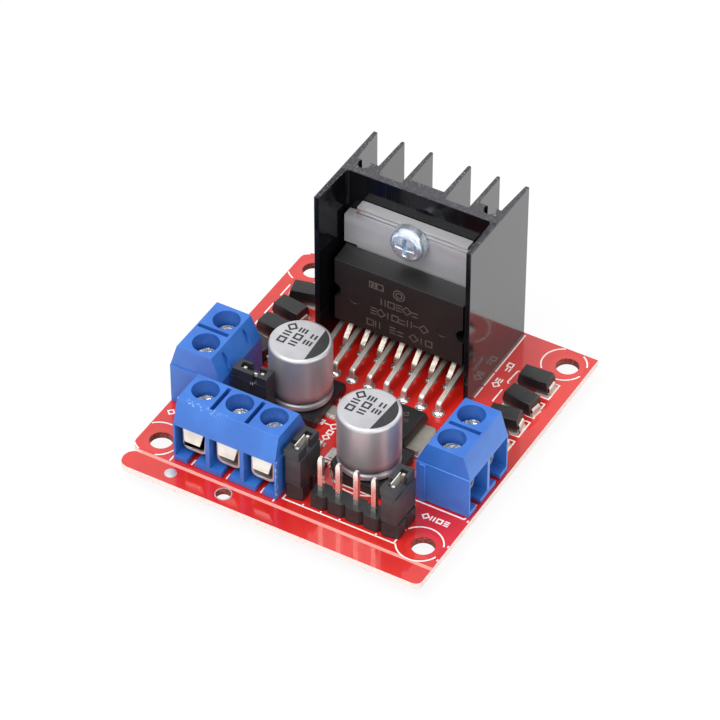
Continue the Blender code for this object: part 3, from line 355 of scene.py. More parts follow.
# Coordinates of the point in mm from the datum: x, y, z
def spotOf(tree):
    where = put(tree, "TexCoord").outputs["Object"]
    inputs = {"Vector": where, "Scale": (1000, 1000, 1000), "Location": tuple(-datum)}
    return put(tree, "SeparateXYZ", {0: put(tree, "Mapping", inputs).outputs[0]}).outputs


# The surface's direction without bumps: x, y, z
def slopeOf(tree):
    return put(tree, "SeparateXYZ", {0: put(tree, "TexCoord").outputs["Normal"]}).outputs


# Finish between two colours and two roughnesses, each by a noise. texture holds the sizes per mm of the
# two noises and the bumps' height in thousandths of a mm. extra changes colour and roughness by its nodes
def finish(name, colour, other, rough, texture, metal=0.0, stretch=(1, 1, 1), extra=None, **more):
    patch, grain, bump = texture
    made = bpy.data.materials.new(name)
    made.use_nodes = True
    tree = made.node_tree
    shader = tree.nodes["Principled BSDF"]
    broad = noise(tree, patch, stretch, 4)
    fine = noise(tree, grain, stretch, 3)
    tint = blend(ramp(broad, 0.35, 0.65), colour, other)
    sheen = ramp(fine, 0.3, 0.7, *rough)
    made.diffuse_color = light(colour)
    shader.inputs["Metallic"].default_value = metal
    for key, value in more.items():
        shader.inputs[key.replace("_", " ")].default_value = value
    relief = put(tree, "Bump", {"Height": fine, "Distance": bump * 1e-6, "Strength": 1.0})
    if extra:
        tint, sheen = extra(tree, shader, tint, sheen)
    for key, value in (("Base Color", tint), ("Roughness", sheen), ("Normal", relief.outputs[0])):
        tree.links.new(value, shader.inputs[key])
    return made


# Geometry nodes that shade all faces smoothly but keep edges over an angle sharp
def smoothByAngle(degrees):
    group = bpy.data.node_groups.new("smooth_by_angle", "GeometryNodeTree")
    for way in ("INPUT", "OUTPUT"):
        group.interface.new_socket("Geometry", in_out=way, socket_type="NodeSocketGeometry")
    entry = group.nodes.new("NodeGroupInput")
    faces = group.nodes.new("GeometryNodeSetShadeSmooth")
    angle = group.nodes.new("GeometryNodeInputMeshEdgeAngle")
    over = group.nodes.new("FunctionNodeCompare")
    edges = group.nodes.new("GeometryNodeSetShadeSmooth")
    leave = group.nodes.new("NodeGroupOutput")
    edges.domain = "EDGE"
    edges.inputs["Shade Smooth"].default_value = False
    over.operation = "GREATER_THAN"
    over.inputs[1].default_value = math.radians(degrees)
    for source, target in (
        (entry.outputs[0], faces.inputs["Geometry"]),
        (faces.outputs[0], edges.inputs["Geometry"]),
        (angle.outputs[0], over.inputs[0]),
        (over.outputs[0], edges.inputs["Selection"]),
        (edges.outputs[0], leave.inputs[0]),
    ):
        group.links.new(source, target)
    return group


dressing = dict(weld=1e-6, flat=1.0, segments=2)
smoothing = smoothByAngle(50)


# CAD nodes: coplanar triangles joined, edges over an angle rounded, smooth shading, and a finish given
def dress(names, material, width, sharp=30.0):
    for name in names:
        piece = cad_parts[name]
        piece.data.materials.clear()
        piece.data.materials.append(material)
        piece.modifiers.new("weld", "WELD").merge_threshold = dressing["weld"]
        join = piece.modifiers.new("join_flat_faces", "DECIMATE")
        join.decimate_type = "DISSOLVE"
        join.angle_limit = math.radians(dressing["flat"])
        bevel = piece.modifiers.new("edge", "BEVEL")
        bevel.width = width / 1000
        bevel.segments = dressing["segments"]
        bevel.limit_method = "ANGLE"
        bevel.angle_limit = math.radians(sharp)
        piece.modifiers.new("smooth", "NODES").node_group = smoothing
        piece.modifiers.new("even_shading", "WEIGHTED_NORMAL").keep_sharp = True


print("stage: board")
board = dict(
    mask="d41f14", maskOther="c81810", ring="d63026", edge="ead9d3",
    speck="c4aca4", score="ec988e", wall="70261e", wallOther="a05448",
    thickness=1.0, hole=1.525, corner=(19, 19), tooling=(-7.1, -23.425),
)


# Distance from a spot (X, Y) of the board: sqrt((x - X)^2 + (y - Y)^2)
def awayFrom(x, y, spot):
    inputs = {0: put(x.id_data, "CombineXYZ", {0: x, 1: y}).outputs[0], 1: (*spot, 0)}
    return put(x.id_data, "VectorMath", inputs, operation="DISTANCE").outputs["Value"]


# Glossy red on the flat faces, pale rough resin on cut edges, pink in the scores, brown in the holes.
# The nearest mounting hole is as far from a point as the corner spot is from (|x|, |y|)
def boardLook(tree, shader, tint, sheen):
    x, y, _ = spotOf(tree)
    up = reckon("ABSOLUTE", slopeOf(tree)[2])
    face = ramp(up, 0.93, 0.97)
    score = product(ramp(up, 0.3, 0.5), ramp(up, 0.9, 0.8))
    dust = noise(tree, 4, (1, 1, 1), 4, 0.7)
    edge = blend(ramp(dust, 0.56, 0.68), board["edge"], board["speck"])
    edge = blend(score, edge, board["score"])
    aside, along = (reckon("ABSOLUTE", value) for value in (x, y))
    reach = awayFrom(aside, along, board["corner"])
    off = awayFrom(x, y, board["tooling"])
    rim = board["hole"]
    hole = reckon("MAXIMUM", ramp(reach, rim + 0.15, rim + 0.05), ramp(off, 1.2, 1.05))
    wall = blend(ramp(dust, 0.45, 0.6), board["wall"], board["wallOther"])
    bare = blend(hole, edge, wall)
    ring = product(ramp(reach, 2.3, 2.2), ramp(reach, rim + 0.02, rim + 0.2))
    mask = blend(product(ring, 0.55), tint, board["ring"])
    shader.inputs["Coat Roughness"].default_value = 0.04
    tree.links.new(face, shader.inputs["Coat Weight"])
    return blend(face, bare, mask), reckon("MULTIPLY_ADD", face, -0.4, 0.75)


redMask = finish(
    "red_board", board["mask"], board["maskOther"], (0.3, 0.4), (0.15, 1.2, 1.5), extra=boardLook,
    Coat_IOR=1.5,
)
dress(["circuit_board"], redMask, 0.05)

silk = dict(width=0.2, ring=3.0, ringShift=(-0.55, 0.1), canRing=4.9, frontLine=-20.4, bracket=(18.7, 19.85))
# Broken rings round the mounting holes: place, then the arcs' first and last degrees
holeRings = (
    (19, -19, ((19, 147), (209, 340))),
    (19, 19, ((17, 60), (113, 222), (276, 341))),
    (-19, -19, ((84, 137), (224, 248), (294, 344))),
    (-19, 19, ((20, 70), (120, 137), (222, 250), (290, 352))),
)
lines = []
for x, y, spans in holeRings:
    ringX, ringY = x + silk["ringShift"][0], y + silk["ringShift"][1]
    lines += [arc(ringX, ringY, silk["ring"], start, end) for start, end in spans]
# Outlines round the headers, the terminals and the heatsink
lines += [
    [(-0.28, -16.2), (-0.28, silk["frontLine"]), (15.6, silk["frontLine"]), (15.6, -19.6)],
    [(4.7, -14.55), (8.8, -14.55)],
    [(1.78, -12.43), (3.6, -14.56)],
    [(1.85, -13.89), (2.13, -14.48)],
    [(14.16, -12.4), (21.1, -12.4), (21.2, -12.1)],
    [(14.09, 15.13), (13.88, 14.91), (13.72, 12.55), (13.98, 12.31)],
    [(13.81, 10.94), (13.78, 8.48), (13.86, 8.34)],
    [(17.87, 6.2), (17.97, 4.82)],
]
lines += [[(x, silk["frontLine"]), (x, -20.0)] for x in (2.5, 5.06, 7.75, 12.95)]
# Strokes from front to back: x, and the two ends of each
frontToBack = (
    (-20.22, (14.97, 12.47), (10.69, 8.36), (6.8, 5.98), (3.0, 0.4)),
    (-16.1, (-21.63, -20.61)),
    (-13.4, (7.2, 3.8)),
    (-13.3, (15.2, 11.9), (-20.95, -19.9)),
    (-11.45, (21.6, 7.8)),
    (-8.2, (-20.95, -19.9)),
    (-3.2, (-20.95, -19.9)),
    (-1.1, (-21.5, -21.03)),
    (11.45, (21.6, 13.4), (13.15, 10.36), (10.08, 7.8)),
    (15.7, (-17.9, -17.55)),
    (21.2, (-9.7, -9.35)),
    (21.7, (-12.7, -12.35)),
    (21.74, (-20.5, -20.15), (-17.8, -17.45)),
)
lines += [[(x, start), (x, end)] for x, *ends in frontToBack for start, end in ends]
for _, x, y, _ in canPlaces:
    lines += [arc(x, y, silk["canRing"], start, start + 130) for start in (25, 205)]
# White brackets round the diodes' pads
near, far = silk["bracket"]
for y, reach in ((13.7, 1.52), (9.63, 1.52), (5.65, 1.55), (1.6, 1.53)):
    lines.append([(near, y + reach), (far, y + reach), (far, y - reach), (near, y - reach)])
# Plain marks on the board: kinds, place, size, step, and the row's and the marks' turn
for row in (
    ("diamond bars square stack", 16.7, -14.25, 0.95, 0.98),
    ("square dash diamond", -3.3, -5.9, 1.1, 0.98),
    ("square diamond dash square", -1.25, -7.1, 0.95, 1.0, -90),
    ("bars gate stack", 5.8, -15.85, 0.6, 1.5),
    ("diamond", -20.7, -13.9, 0.95, 1.0),
    ("square gate", 12.55, 15.5, 1.0, 0.9, -90, 90),
    ("stack diamond", 12.65, 12.25, 1.0, 0.9, -90, 90),
    ("bars dash", 12.9, -6.2, 0.7, 1.0),
):
    lines += markRow(*row)
silkPaint = finish("silk_paint", "fcf4f0", "f0e2de", (0.4, 0.55), (2.5, 9, 5))
makePiece("silkscreen", [stroke(line, silk["width"]) for line in lines], silkPaint)
# The two round targets on the rail: a disc, and the rim of the tooling hole
target = dict(place=(-14.8, -23.52), disc=0.8, rim=(0.98, 1.13))
tin = finish("bright_tin", "e2e2e6", "ccccd2", (0.3, 0.45), (1.2, 4, 8), metal=0.7)
disc, (rimIn, rimOut) = target["disc"], target["rim"]
discProfile = [(0, -dip), (disc, -dip), (disc, 0.015), (disc - 0.06, 0.03), (0, 0.03)]
rimProfile = [(rimIn, -dip), (rimOut, -dip), (rimOut, 0.02), (rimIn, 0.02), (rimIn, -dip)]
targets = [
    revolve(discProfile, 32, (*target["place"], 0)),
    revolve(rimProfile, 40, (*board["tooling"], 0)),
]
makePiece("rail_targets", targets, tin)

print("stage: solder")
# The leads' last colour is the painted shadow of the chip on the long leads
leads = dict(count=15, frontY=2.93, backY=7.92, chip_shadow="5c5650")
solder = dict(
    sides=24, padReach=0.22, padHigh=0.03, neck=0.3, small=0.95, clamp=1.5, sinkPin=1.9,
    sinkPlace=(9.1, 15.15), tall=1.7, dome=0.72, domeHigh=0.42, domePad=0.82,
)
leadIndex = np.arange(leads["count"])
leadX = (leadIndex - (leads["count"] - 1) / 2) * leadPitch
leadPlaces = list(zip(leadX, np.where(leadIndex % 2 == 0, leads["frontY"], leads["backY"])))


# Centres of a header's pins, in a row turned by degrees
def pinPlaces(x, y, turn, count):
    along = (np.arange(count) - (count - 1) / 2) * pinPitch
    return along[:, None] * turning(turn)[0] + (x, y)


# Joint under the board: its radius falls as r0 + (r - r0)(1 - t)^2 while its height grows as h t
def joint(x, y, radius, height):
    share = np.linspace(0, 1, 9)
    reach = solder["neck"] + (radius - solder["neck"]) * (1 - share) ** 2
    base = -board["thickness"]
    profile = [(0, base + solder["padHigh"]), (radius, base + solder["padHigh"])]
    profile += list(zip(reach, base - height * share)) + [(0, base - height)]
    return revolve(profile, solder["sides"], (x, y, 0))


# Domed joint on the top face: z = h (1 - (r / R)^2)^0.7
def domed(x, y, radius, height):
    reach = radius * np.cos(np.linspace(0, math.pi / 2, 8))
    profile = [(0, -solder["padHigh"]), (radius, -solder["padHigh"])]
    profile += list(zip(reach, height * (1 - (reach / radius) ** 2) ** 0.7))
    return revolve(profile, solder["sides"], (x, y, 0))


# Bare pad round a joint, on the board's underside or its top
def pad(x, y, radius, down):
    under, high = -board["thickness"], solder["padHigh"]
    low, high = (under - high, under + dip) if down else (-dip, high)
    return revolve([(0, low), (radius, low), (radius, high), (0, high)], solder["sides"], (x, y, 0))


tails = [(x, y, solder["small"]) for x, y in leadPlaces]
tails += [(x, y, solder["clamp"]) for x, y, _ in screwPlaces]
tails += [(*spot, solder["small"]) for _, *row in headers for spot in pinPlaces(*row)]
tails += [(way * solder["sinkPlace"][0], solder["sinkPlace"][1], solder["sinkPin"]) for way in (-1, 1)]
joints = [joint(x, y, radius, min(solder["tall"], 1.2 + radius * 0.2)) for x, y, radius in tails]
joints += [pad(x, y, radius + solder["padReach"], True) for x, y, radius in tails]
joints += [domed(x, y, solder["dome"], solder["domeHigh"]) for x, y in leadPlaces]
joints += [pad(x, y, solder["domePad"], False) for x, y in leadPlaces]
solderTin = finish("solder_tin", "f0f0f0", "dedee2", (0.16, 0.3), (1.6, 3, 10), metal=0.9)
makePiece("solder_joints", joints, solderTin)

print("stage: heatsink and chip")
sink = dict(
    black="101013", other="0c0c0f", sawn="2a2930", spark="e2e2e6", worn="36353a",
    top=24.8, wallIn=11.2, plateY=13.3,
)


# Black anodised aluminium: drawn lines along its height, duller between the walls, bright specks on sawn ends
def sinkLook(tree, shader, tint, sheen):
    x, y, z = spotOf(tree)
    up = reckon("ABSOLUTE", slopeOf(tree)[2])
    end = product(ramp(up, 0.5, 0.9), ramp(z, sink["top"] - 0.3, sink["top"]))
    between = ramp(reckon("ABSOLUTE", x), sink["wallIn"], sink["wallIn"] - 0.1)
    inside = product(between, ramp(y, sink["plateY"], sink["plateY"] - 0.1))
    tree.links.new(reckon("MULTIPLY_ADD", inside, -0.36, 0.5), shader.inputs["Specular IOR Level"])
    specks = noise(tree, 8, (1, 1, 1), 5, 0.75)
    sawn = blend(ramp(specks, 0.595, 0.65), sink["sawn"], sink["spark"])
    streak = noise(tree, 5, (1, 1, 0.015), 3)
    drawn = product(ramp(streak, 0.55, 0.8), reckon("MULTIPLY_ADD", inside, -0.8, 1.0))
    worn = blend(drawn, tint, sink["worn"])
    rough = reckon("MULTIPLY_ADD", end, 0.3, ramp(streak, 0.35, 0.7, 0.05, 0.17))
    return blend(end, worn, sawn), rough


anodised = finish(
    "black_anodised", sink["black"], sink["other"], (0.3, 0.4), (0.5, 9, 2), stretch=(1, 1, 0.02),
    extra=sinkLook, IOR=1.55,
)
dress(["heatsink"], anodised, 0.1, 40)
chip = dict(epoxy="141212", other="0f0e0e", shiny="1a1a1c", band=14.3)


# Moulded body: matt below, a shiny band above
def chipLook(tree, shader, tint, sheen):
    band = ramp(spotOf(tree)[2], chip["band"], chip["band"] + 0.15)
    rough = reckon("MULTIPLY_ADD", band, -0.28, sheen)
    return blend(band, tint, chip["shiny"]), rough


chipEpoxy = finish("chip_epoxy", chip["epoxy"], chip["other"], (0.44, 0.56), (0.5, 14, 4), extra=chipLook)
dress(["driver_chip_body"], chipEpoxy, 0.12, 25)
# The tab's two lines of painted shade, for the shade in grooves near its top, are each a height and a half
# width
tab = dict(
    nickel="d0cfd1", other="c2c1c4", line="605a52", stain="78543e",
    lines=((20.62, 0.13), (19.98, 0.16)),
)


# Satin nickel, brushed across, with two lines of painted shade for grooves near its top and a brown stain at
# one corner
def tabLook(tree, shader, tint, sheen):
    x, _, z = spotOf(tree)
    cloud = noise(tree, 0.6, (1, 1, 1), 4)
    near = product(ramp(x, -6.4, -8.2), ramp(z, 18.6, 20.4))
    stain = product(near, ramp(cloud, 0.35, 0.6))
    wander = reckon("MULTIPLY_ADD", noise(tree, 0.5, (1, 0.1, 0.1), 2), 0.3, -0.15)
    height = reckon("ADD", z, wander)
    upper, lower = (ramp(distance(height, level), wide, 0.02) for level, wide in tab["lines"])
    groove = ramp(noise(tree, 2.6, (0.03, 1, 1), 3), 0.4, 0.55, 0.45, 1.0)
    # Painted shade: the two dark lines stand in for the shade in the grooves
    painted_shade = product(groove, reckon("MAXIMUM", upper, lower), 0.85)
    shade = blend(painted_shade, tint, tab["line"])
    return blend(stain, shade, tab["stain"]), sheen


nickel = finish(
    "tab_nickel", tab["nickel"], tab["other"], (0.36, 0.48), (0.35, 7, 2), metal=0.5,
    stretch=(0.25, 1, 1), extra=tabLook,
)
dress(["driver_chip_tab"], nickel, 0.06)


# Long leads: painted shadow of the chip, darker towards the chip above them
def leadShadowLook(tree, shader, tint, sheen):
    near = ramp(spotOf(tree)[1], 3.6, 7.6, 0.0, 0.7)
    return blend(near, tint, leads["chip_shadow"]), sheen


tinned = dict(
    colour="dcd5cc", other="c8c1b7", rough=(0.34, 0.46), texture=(0.6, 5, 2), metal=0.7,
    stretch=(1, 1, 0.2),
)
leadTin = finish("lead_tin", **tinned)
longTinShadowed = finish("long_lead_tin_shadowed", **tinned, extra=leadShadowLook)
# Short leads, close under the chip: a darker copy of the same tin, as painted shade
shortTinShaded = finish("short_lead_tin_shaded", "c0b8ae", "968e84", (0.36, 0.5), (1.6, 5, 4), metal=0.7)
for first, metal in ((1, longTinShadowed), (2, shortTinShaded)):
    dress([f"driver_chip_lead_{index:02d}" for index in range(first, leads["count"] + 1, 2)], metal, 0.08)

# Marks on the chip's front: kinds, x, height and step of each row
chipMark = dict(y=8.1, width=0.15, proud=0.012, size=1.3, ring=(0.1, 12.05), radii=((0.8, 32), (0.42, 24)))
chipRows = (
    ("bars square stack diamond gate", -2.2, 9.95, 1.15),
    ("stack diamond bar square gate bars dash diamond", -3.6, 7.95, 1.05),
    ("square bars", -4.1, 5.8, 1.1),
    ("stack gate", -0.8, 5.8, 1.1),
    ("diamond bar square", 2.3, 5.8, 1.1),
)
marks = markRow("square square", -3.75, 12.25, chipMark["size"], 1.05)
marks += plainMark("stack", -3.75, 12.25, 0.6)
marks += [arc(*chipMark["ring"], radius, 0, 360, steps) for radius, steps in chipMark["radii"]]
for kinds, x, z, step in chipRows:
    marks += markRow(kinds, x, z, chipMark["size"], step)
strokes = [stroke(line, chipMark["width"], -dip, chipMark["proud"]) for line in marks]
laser = [facing(surface, 0, chipMark["y"], 0) for surface in strokes]
laserMark = finish("laser_mark", "685c54", "544a44", (0.5, 0.65), (3, 12, 3))
makePiece("chip_marks", laser, laserMark)

# Heads of the screws: long, wide and deep are the cross, soft is how far its walls lean
panHead = dict(radius=2.5, height=1.9, edge=0.75, crown=0.25, long=1.4, wide=0.3, deep=1.05, soft=0.16)
panScrew = dict(place=(0, 11.4, 18.9), radius=1.5, groove=0.18, step=0.25, turns=18, length=4.55)
clampHead = dict(radius=1.5, height=1.76, edge=0.2, crown=0.25, long=1.25, wide=0.24, deep=0.6, soft=0.14)


# Height over radius r: crown parabola and a round shoulder, minus a cross eased over its walls
def screwHead(shape, rings=44, sides=120, roughness=0.0):
    flat, edge = shape["radius"] - shape["edge"], shape["edge"]
    shoulder = flat + edge * np.sin(np.linspace(0.15, math.pi / 2, 9))
    radius = np.concatenate([np.linspace(0, flat, rings), shoulder])
    over = np.clip((radius - flat) / edge, 0, 1)
    top = shape["height"] - shape["crown"] * (radius / shape["radius"]) ** 2
    top -= edge * (1 - np.sqrt(1 - over ** 2))
    angle = np.arange(sides) * 2 * math.pi / sides
    x = radius[:, None] * np.cos(angle)
    y = radius[:, None] * np.sin(angle)
    narrow = np.minimum(np.abs(x), np.abs(y))
    far = np.maximum(np.abs(x), np.abs(y))
    inside = np.minimum(shape["wide"] - narrow, shape["long"] - far)
    sunk = shape["deep"] * ease(inside, 0, shape["soft"]) * (1 - 0.25 * ease(far, 0, shape["long"]))
    z = top[:, None] - sunk
    if roughness:
        waves = ((5, 1.0), (9, 2.2), (15, 0.4))
        lumps = sum(np.cos(x * k + phase) * np.cos(y * k * 1.3 - phase) for k, phase in waves)
        z = z + roughness * lumps + random.normal(0, roughness * 0.2, z.shape)
        z[0] = z[0].mean()
    rim = np.stack([x[-1], y[-1], np.zeros(sides)], axis=-1)
    rings = np.concatenate([np.stack([x, y, z], axis=-1), rim[None], rim[None] * (0.0, 0.0, 1.0)])
    return skin(rings, capped=False)


# Threaded shank below a head, its crests and roots taking turns
def shank(shape, sides):
    radius, groove = shape["radius"], shape["groove"]
    ridges = [(radius - groove * (turn % 2), -0.1 - turn * shape["step"]) for turn in range(shape["turns"])]
    return revolve([(0, 0), (radius, 0)] + ridges + [(0, -shape["length"])], sides)


zinc = finish("screw_zinc", "e2ecf4", "c6d4e2", (0.24, 0.34), (0.8, 3, 1), metal=0.8)
screw = [facing(surface, *panScrew["place"]) for surface in (screwHead(panHead), shank(panScrew, 32))]
makePiece("heatsink_screw_detailed", screw, zinc, ["heatsink_screw"], sharp=60)

print("stage: terminals")
terminal = dict(blue="3470c5", other="2d66bb", chafed="b0cef6")
clampScrew = dict(headLow=6.14, shankTop=6.1, radius=1.1, groove=0.12, step=0.2, turns=9, length=1.9)


# Bright blue moulding, chafed pale along one block's top front edge and one corner
def terminalLook(tree, shader, tint, sheen):
    x, y, z = spotOf(tree)
    chafe = noise(tree, 2.6, (1, 1, 1), 5, 0.75)
    high, front = ramp(z, 9.1, 9.5), ramp(y, -19.5, -19.9)
    edge = product(high, front, ramp(x, -8.0, -9.0))
    worn = product(edge, ramp(chafe, 0.55, 0.63), 0.8)
    side, low = ramp(x, -1.0, -0.75), ramp(y, -20.4, -20.8)
    corner = product(side, low, ramp(chafe, 0.5, 0.6))
    return blend(reckon("MAXIMUM", worn, corner), tint, terminal["chafed"]), sheen


blue = finish(
    "blue_plastic", terminal["blue"], terminal["other"], (0.3, 0.42), (0.25, 5, 3),
    extra=terminalLook, Subsurface_Weight=0.04, Subsurface_Scale=0.0005,
)
dress([side + "_terminal_housing" for side in ("power", "right_output", "left_output")], blue, 0.1, 25)
clampNickel = finish("clamp_nickel", "e2dfd8", "cec9c0", (0.28, 0.36), (0.4, 2, 0.6), metal=0.62)
dress([f"terminal_clamp_{index + 1}" for index in range(len(screwPlaces))], clampNickel, 0.06)
clampZinc = finish("clamp_screw_zinc", "e8e8e4", "c4c2bc", (0.18, 0.36), (1.4, 7, 10), metal=0.85)
for number, (x, y, turn) in enumerate(screwPlaces, 1):
    screw = [place(screwHead(clampHead, roughness=0.03), x, y, clampScrew["headLow"], turn)]
    screw.append(place(shank(clampScrew, 24), x, y, clampScrew["shankTop"]))
    name, rides = f"terminal_screw_{number}", f"clamp_screw_{number}"
    makePiece(name + "_detailed", screw, clampZinc, [name], rides, 60)

print("stage: headers and caps")
strip = dict(width=2.5, height=2.3, nick=0.4, edge=0.12, low=0.1)
pinSize = dict(half=0.32, low=-3.2, tip=7.8, point=0.5, end=0.2)


# Square pin with four-sided points at both ends
def pin(x, y):
    half, low, tip, point, end = pinSize.values()
    levels = [(low, half - end), (low + point, 0), (tip - point, 0), (tip, half - end)]
    return tower(rectangle(x, y, 2 * half, 2 * half), levels)


# Outline of a strip for n pins, nicked between its poles
def stripOutline(poles):
    half, nick = strip["width"] / 2, strip["nick"]
    front = []
    for index in range(poles):
        left = (index - poles / 2) * pinPitch
        right = left + pinPitch
        front += [(left + nick, -half), (right - nick, -half), (right, nick - half)]
    return np.array(front + [(-x, -y) for x, y in front])


headerPlastic = finish("header_plastic", "1e2123", "17191b", (0.36, 0.5), (0.6, 8, 4))
pinTin = finish("pin_tin", "ece6de", "e0d8ce", (0.15, 0.22), (0.6, 1.5, 0.5), metal=0.9, stretch=(1, 1, 0.2))
for name, x, y, turn, count in headers:
    body = place(raised(stripOutline(count), strip["low"], strip["height"], strip["edge"]), x, y, 0, turn)
    makePiece(name + "_strip", [body], headerPlastic, [name])
    pins = placed([pin(*spot) for spot in pinPlaces(0, 0, 0, count)], x, y, turn)
    makePiece(name + "_pins", pins, pinTin)

# A cap's sleeve and its two claws. One claw reaches past the other on the side with the spring
cap = dict(
    half=2.5, deep=1.2, low=2.4, top=8.2, ledge=6.85, reach=0.1, back=0.3, room=0.47, slot=1.74,
    waist=0.62, gap=1.05, over=0.45, edge=0.1, lean=0.12,
)
capPlastic = finish("cap_plastic", "2c2d31", "222327", (0.36, 0.5), (0.8, 9, 6))
clip = finish("clip_metal", "faf8f2", "ece8e0", (0.2, 0.32), (1.5, 6, 3), metal=0.5)


# Sleeve as one closed band of levels between its outer and inner outline, and the claws on it
def jumperCap():
    half, deep, low, top, ledge, reach, back, room, slot, waist, gap, over, edge, lean = cap.values()
    outer = rectangle(0, 0, 2 * (half - reach), 2 * (deep - reach))
    inner = rectangle(0, 0, 2 * slot, 2 * room)
    loops = [(outer, low), (outer, ledge - lean), (inset(outer, lean), ledge)]
    loops += [(inner, ledge), (inner, low), (outer, low)]
    sleeve = skin(levelled(loops), capped=False)
    rear = back - deep
    short = [(-half, rear), (-waist, rear), (-waist, -room), (-slot, -room), (-slot, room)]
    short += [(-gap, room), (-gap, deep), (-half, deep)]
    long = [(half, rear), (half, deep), (-over, deep), (-over, room), (slot, room)]
    long += [(slot, -room), (waist, -room), (waist, rear)]
    levels = [(ledge, 0.06), (ledge + 0.06, 0), (top - edge, 0), (top - 0.03, 0.04), (top, edge)]
    return [sleeve, tower(short, levels), tower(long, levels)]


# Bright bits of the springs: a blade, and on the supply cap also a small gate at its front
enableSpring = (((-1.2, 0.335, 5.0), (1.2, 0.475, 8.05)),)
supplySpring = (
    ((-0.85, 0.5, 7.5), (0.75, 0.66, 8.1)),
    ((-0.5, 1.06, 6.35), (-0.38, 1.14, 6.9)),
    ((-0.2, 1.06, 6.35), (-0.08, 1.14, 6.9)),
    ((-0.5, 1.06, 6.8), (-0.08, 1.14, 6.94)),
)
# Each cap: its name, its body, its header's place, its turn and its spring
caps = (
    ("left_enable", "left_enable_jumper", headers[1][1:3], 90, enableSpring),
    ("right_enable", "right_enable_jumper", headers[2][1:3], 90, enableSpring),
    ("supply_jumper", "supply_jumper", headers[3][1:3], 180, supplySpring),
)
for name, rides, (x, y), turn, boxes in caps:
    moulded = placed(jumperCap(), x, y, turn)
    makePiece(name + "_cap_moulded", moulded, capPlastic, [name + "_cap"], rides)
    spring = placed([roundedBox(low, high, 0.03) for low, high in boxes], x, y, turn)
    makePiece(name + "_clip", spring, clip, body=rides)

print("stage: capacitors")
# The can's last colour is painted shade for its crimp groove
can = dict(
    radius=4.1, top=10.3, rim=0.5, lip=3.5, dish=0.03, bottom=1.6, footBend=0.35, sides=128,
    crimp=0.3, crimpTop=3.4, crimpTall=1.05, painted_shade="605c60",
)
canInk = dict(moon=2.0, disc=3.65, line=0.27, low=0.06, size=1.25, step=1.35)
canRows = (
    ("diamond bars square", -2.2, 1.75),
    ("stack square bars", -0.6, 1.75),
    ("gate stack", 1.0, 1.35),
)
foot = dict(half=4.15, cut=1.7, low=0.2, high=1.5, edge=0.12)
canLead = dict(x=3.95, halfLong=1.45, halfWide=0.9, low=0.1, high=0.4, round=0.08, pad=(2.0, 2.2), padX=4.95)


# Satin aluminium, with painted shade darkening the crimp groove
def canLook(tree, shader, tint, sheen):
    z = spotOf(tree)[2]
    # Painted shade: the crimp groove is darkened
    crimp = product(ramp(z, 4.3, 2.9), ramp(z, 2.25, 2.7), 0.8)
    return blend(crimp, tint, can["painted_shade"]), sheen


# Profile of a can: a rolled rim, a crimp as deep as d sin^2(pi s^1.6) over its share s, a round bottom edge
def canProfile():
    bend, share = np.linspace(0, math.pi / 2, 9), np.linspace(0, 1, 13)
    top, radius, rim, dish = can["top"], can["radius"], can["rim"], can["dish"]
    profile = [(0, top - dish), (can["lip"] - 0.2, top - dish), (can["lip"], top)]
    profile += list(zip(radius - rim + rim * np.sin(bend), top - rim + rim * np.cos(bend)))
    crimp = can["crimp"] * np.sin(share ** 1.6 * math.pi) ** 2
    profile += list(zip(radius - crimp, can["crimpTop"] - can["crimpTall"] * share))
    fall, middle = can["footBend"], can["bottom"] + can["footBend"]
    profile.append((radius, middle + 0.25))
    profile += list(zip(radius - fall * (1 - np.cos(bend)), middle - fall * np.sin(bend)))
    return profile + [(0, can["bottom"])]


# Half moon and plain marks on a can's top, the moon's straight side turned by degrees
def canPrint(x, y, turn):
    side = math.degrees(math.acos(canInk["moon"] / canInk["disc"]))
    low = can["top"] - canInk["low"]
    shapes = [raised(arc(x, y, canInk["disc"], turn - side, turn + side, 30), low, can["top"] + 0.01)]
    for kinds, across, start in canRows:
        row = markRow(kinds, across, start, canInk["size"], canInk["step"], -90, 90)
        shapes += [place(stroke(line, canInk["line"], low, can["top"] - 0.014), x, y) for line in row]
    return shapes


# Flat leads of a can, one to each side
def canLeads(x, y):
    long, wide = canLead["halfLong"], canLead["halfWide"]
    lead = roundedBox((-long, -wide, canLead["low"]), (long, wide, canLead["high"]), canLead["round"])
    return [place(lead, x + way * canLead["x"], y) for way in (-1, 1)]


# Square foot of a can with its two left corners cut
def canFoot(x, y):
    half, short = foot["half"], foot["half"] - foot["cut"]
    outline = [(half, -half), (half, half), (-short, half), (-half, short), (-half, -short), (-short, -half)]
    return place(raised(outline, foot["low"], foot["high"], foot["edge"]), x, y)


aluminium = finish(
    "can_aluminium", "c8c7cb", "bebdc1", (0.34, 0.44), (0.4, 10, 1.2), metal=0.68,
    stretch=(1, 1, 0.2), extra=canLook,
)
footPlastic = finish("foot_plastic", "1c1c1e", "141416", (0.32, 0.46), (0.6, 8, 5))
printInk = finish("can_print", "2a2a2e", "222226", (0.4, 0.5), (1.2, 10, 3))
for name, x, y, moonTurn in canPlaces:
    turned = revolve(canProfile(), can["sides"], (x, y, 0))
    makePiece(name + "_can_turned", [turned], aluminium, [name + "_can"])
    makePiece(name + "_print", canPrint(x, y, moonTurn), printInk)
    makePiece(name + "_leads", canLeads(x, y), leadTin)
    makePiece(name + "_foot", [canFoot(x, y)], footPlastic, [name + "_base"])
    wet = raised(rectangle(0, 0, *canLead["pad"]), -dip, 0.12, 0.1)
    spread = [place(wet, x + way * canLead["padX"], y) for way in (-1, 1)]
    makePiece(name + "_solder", spread, solderTin)

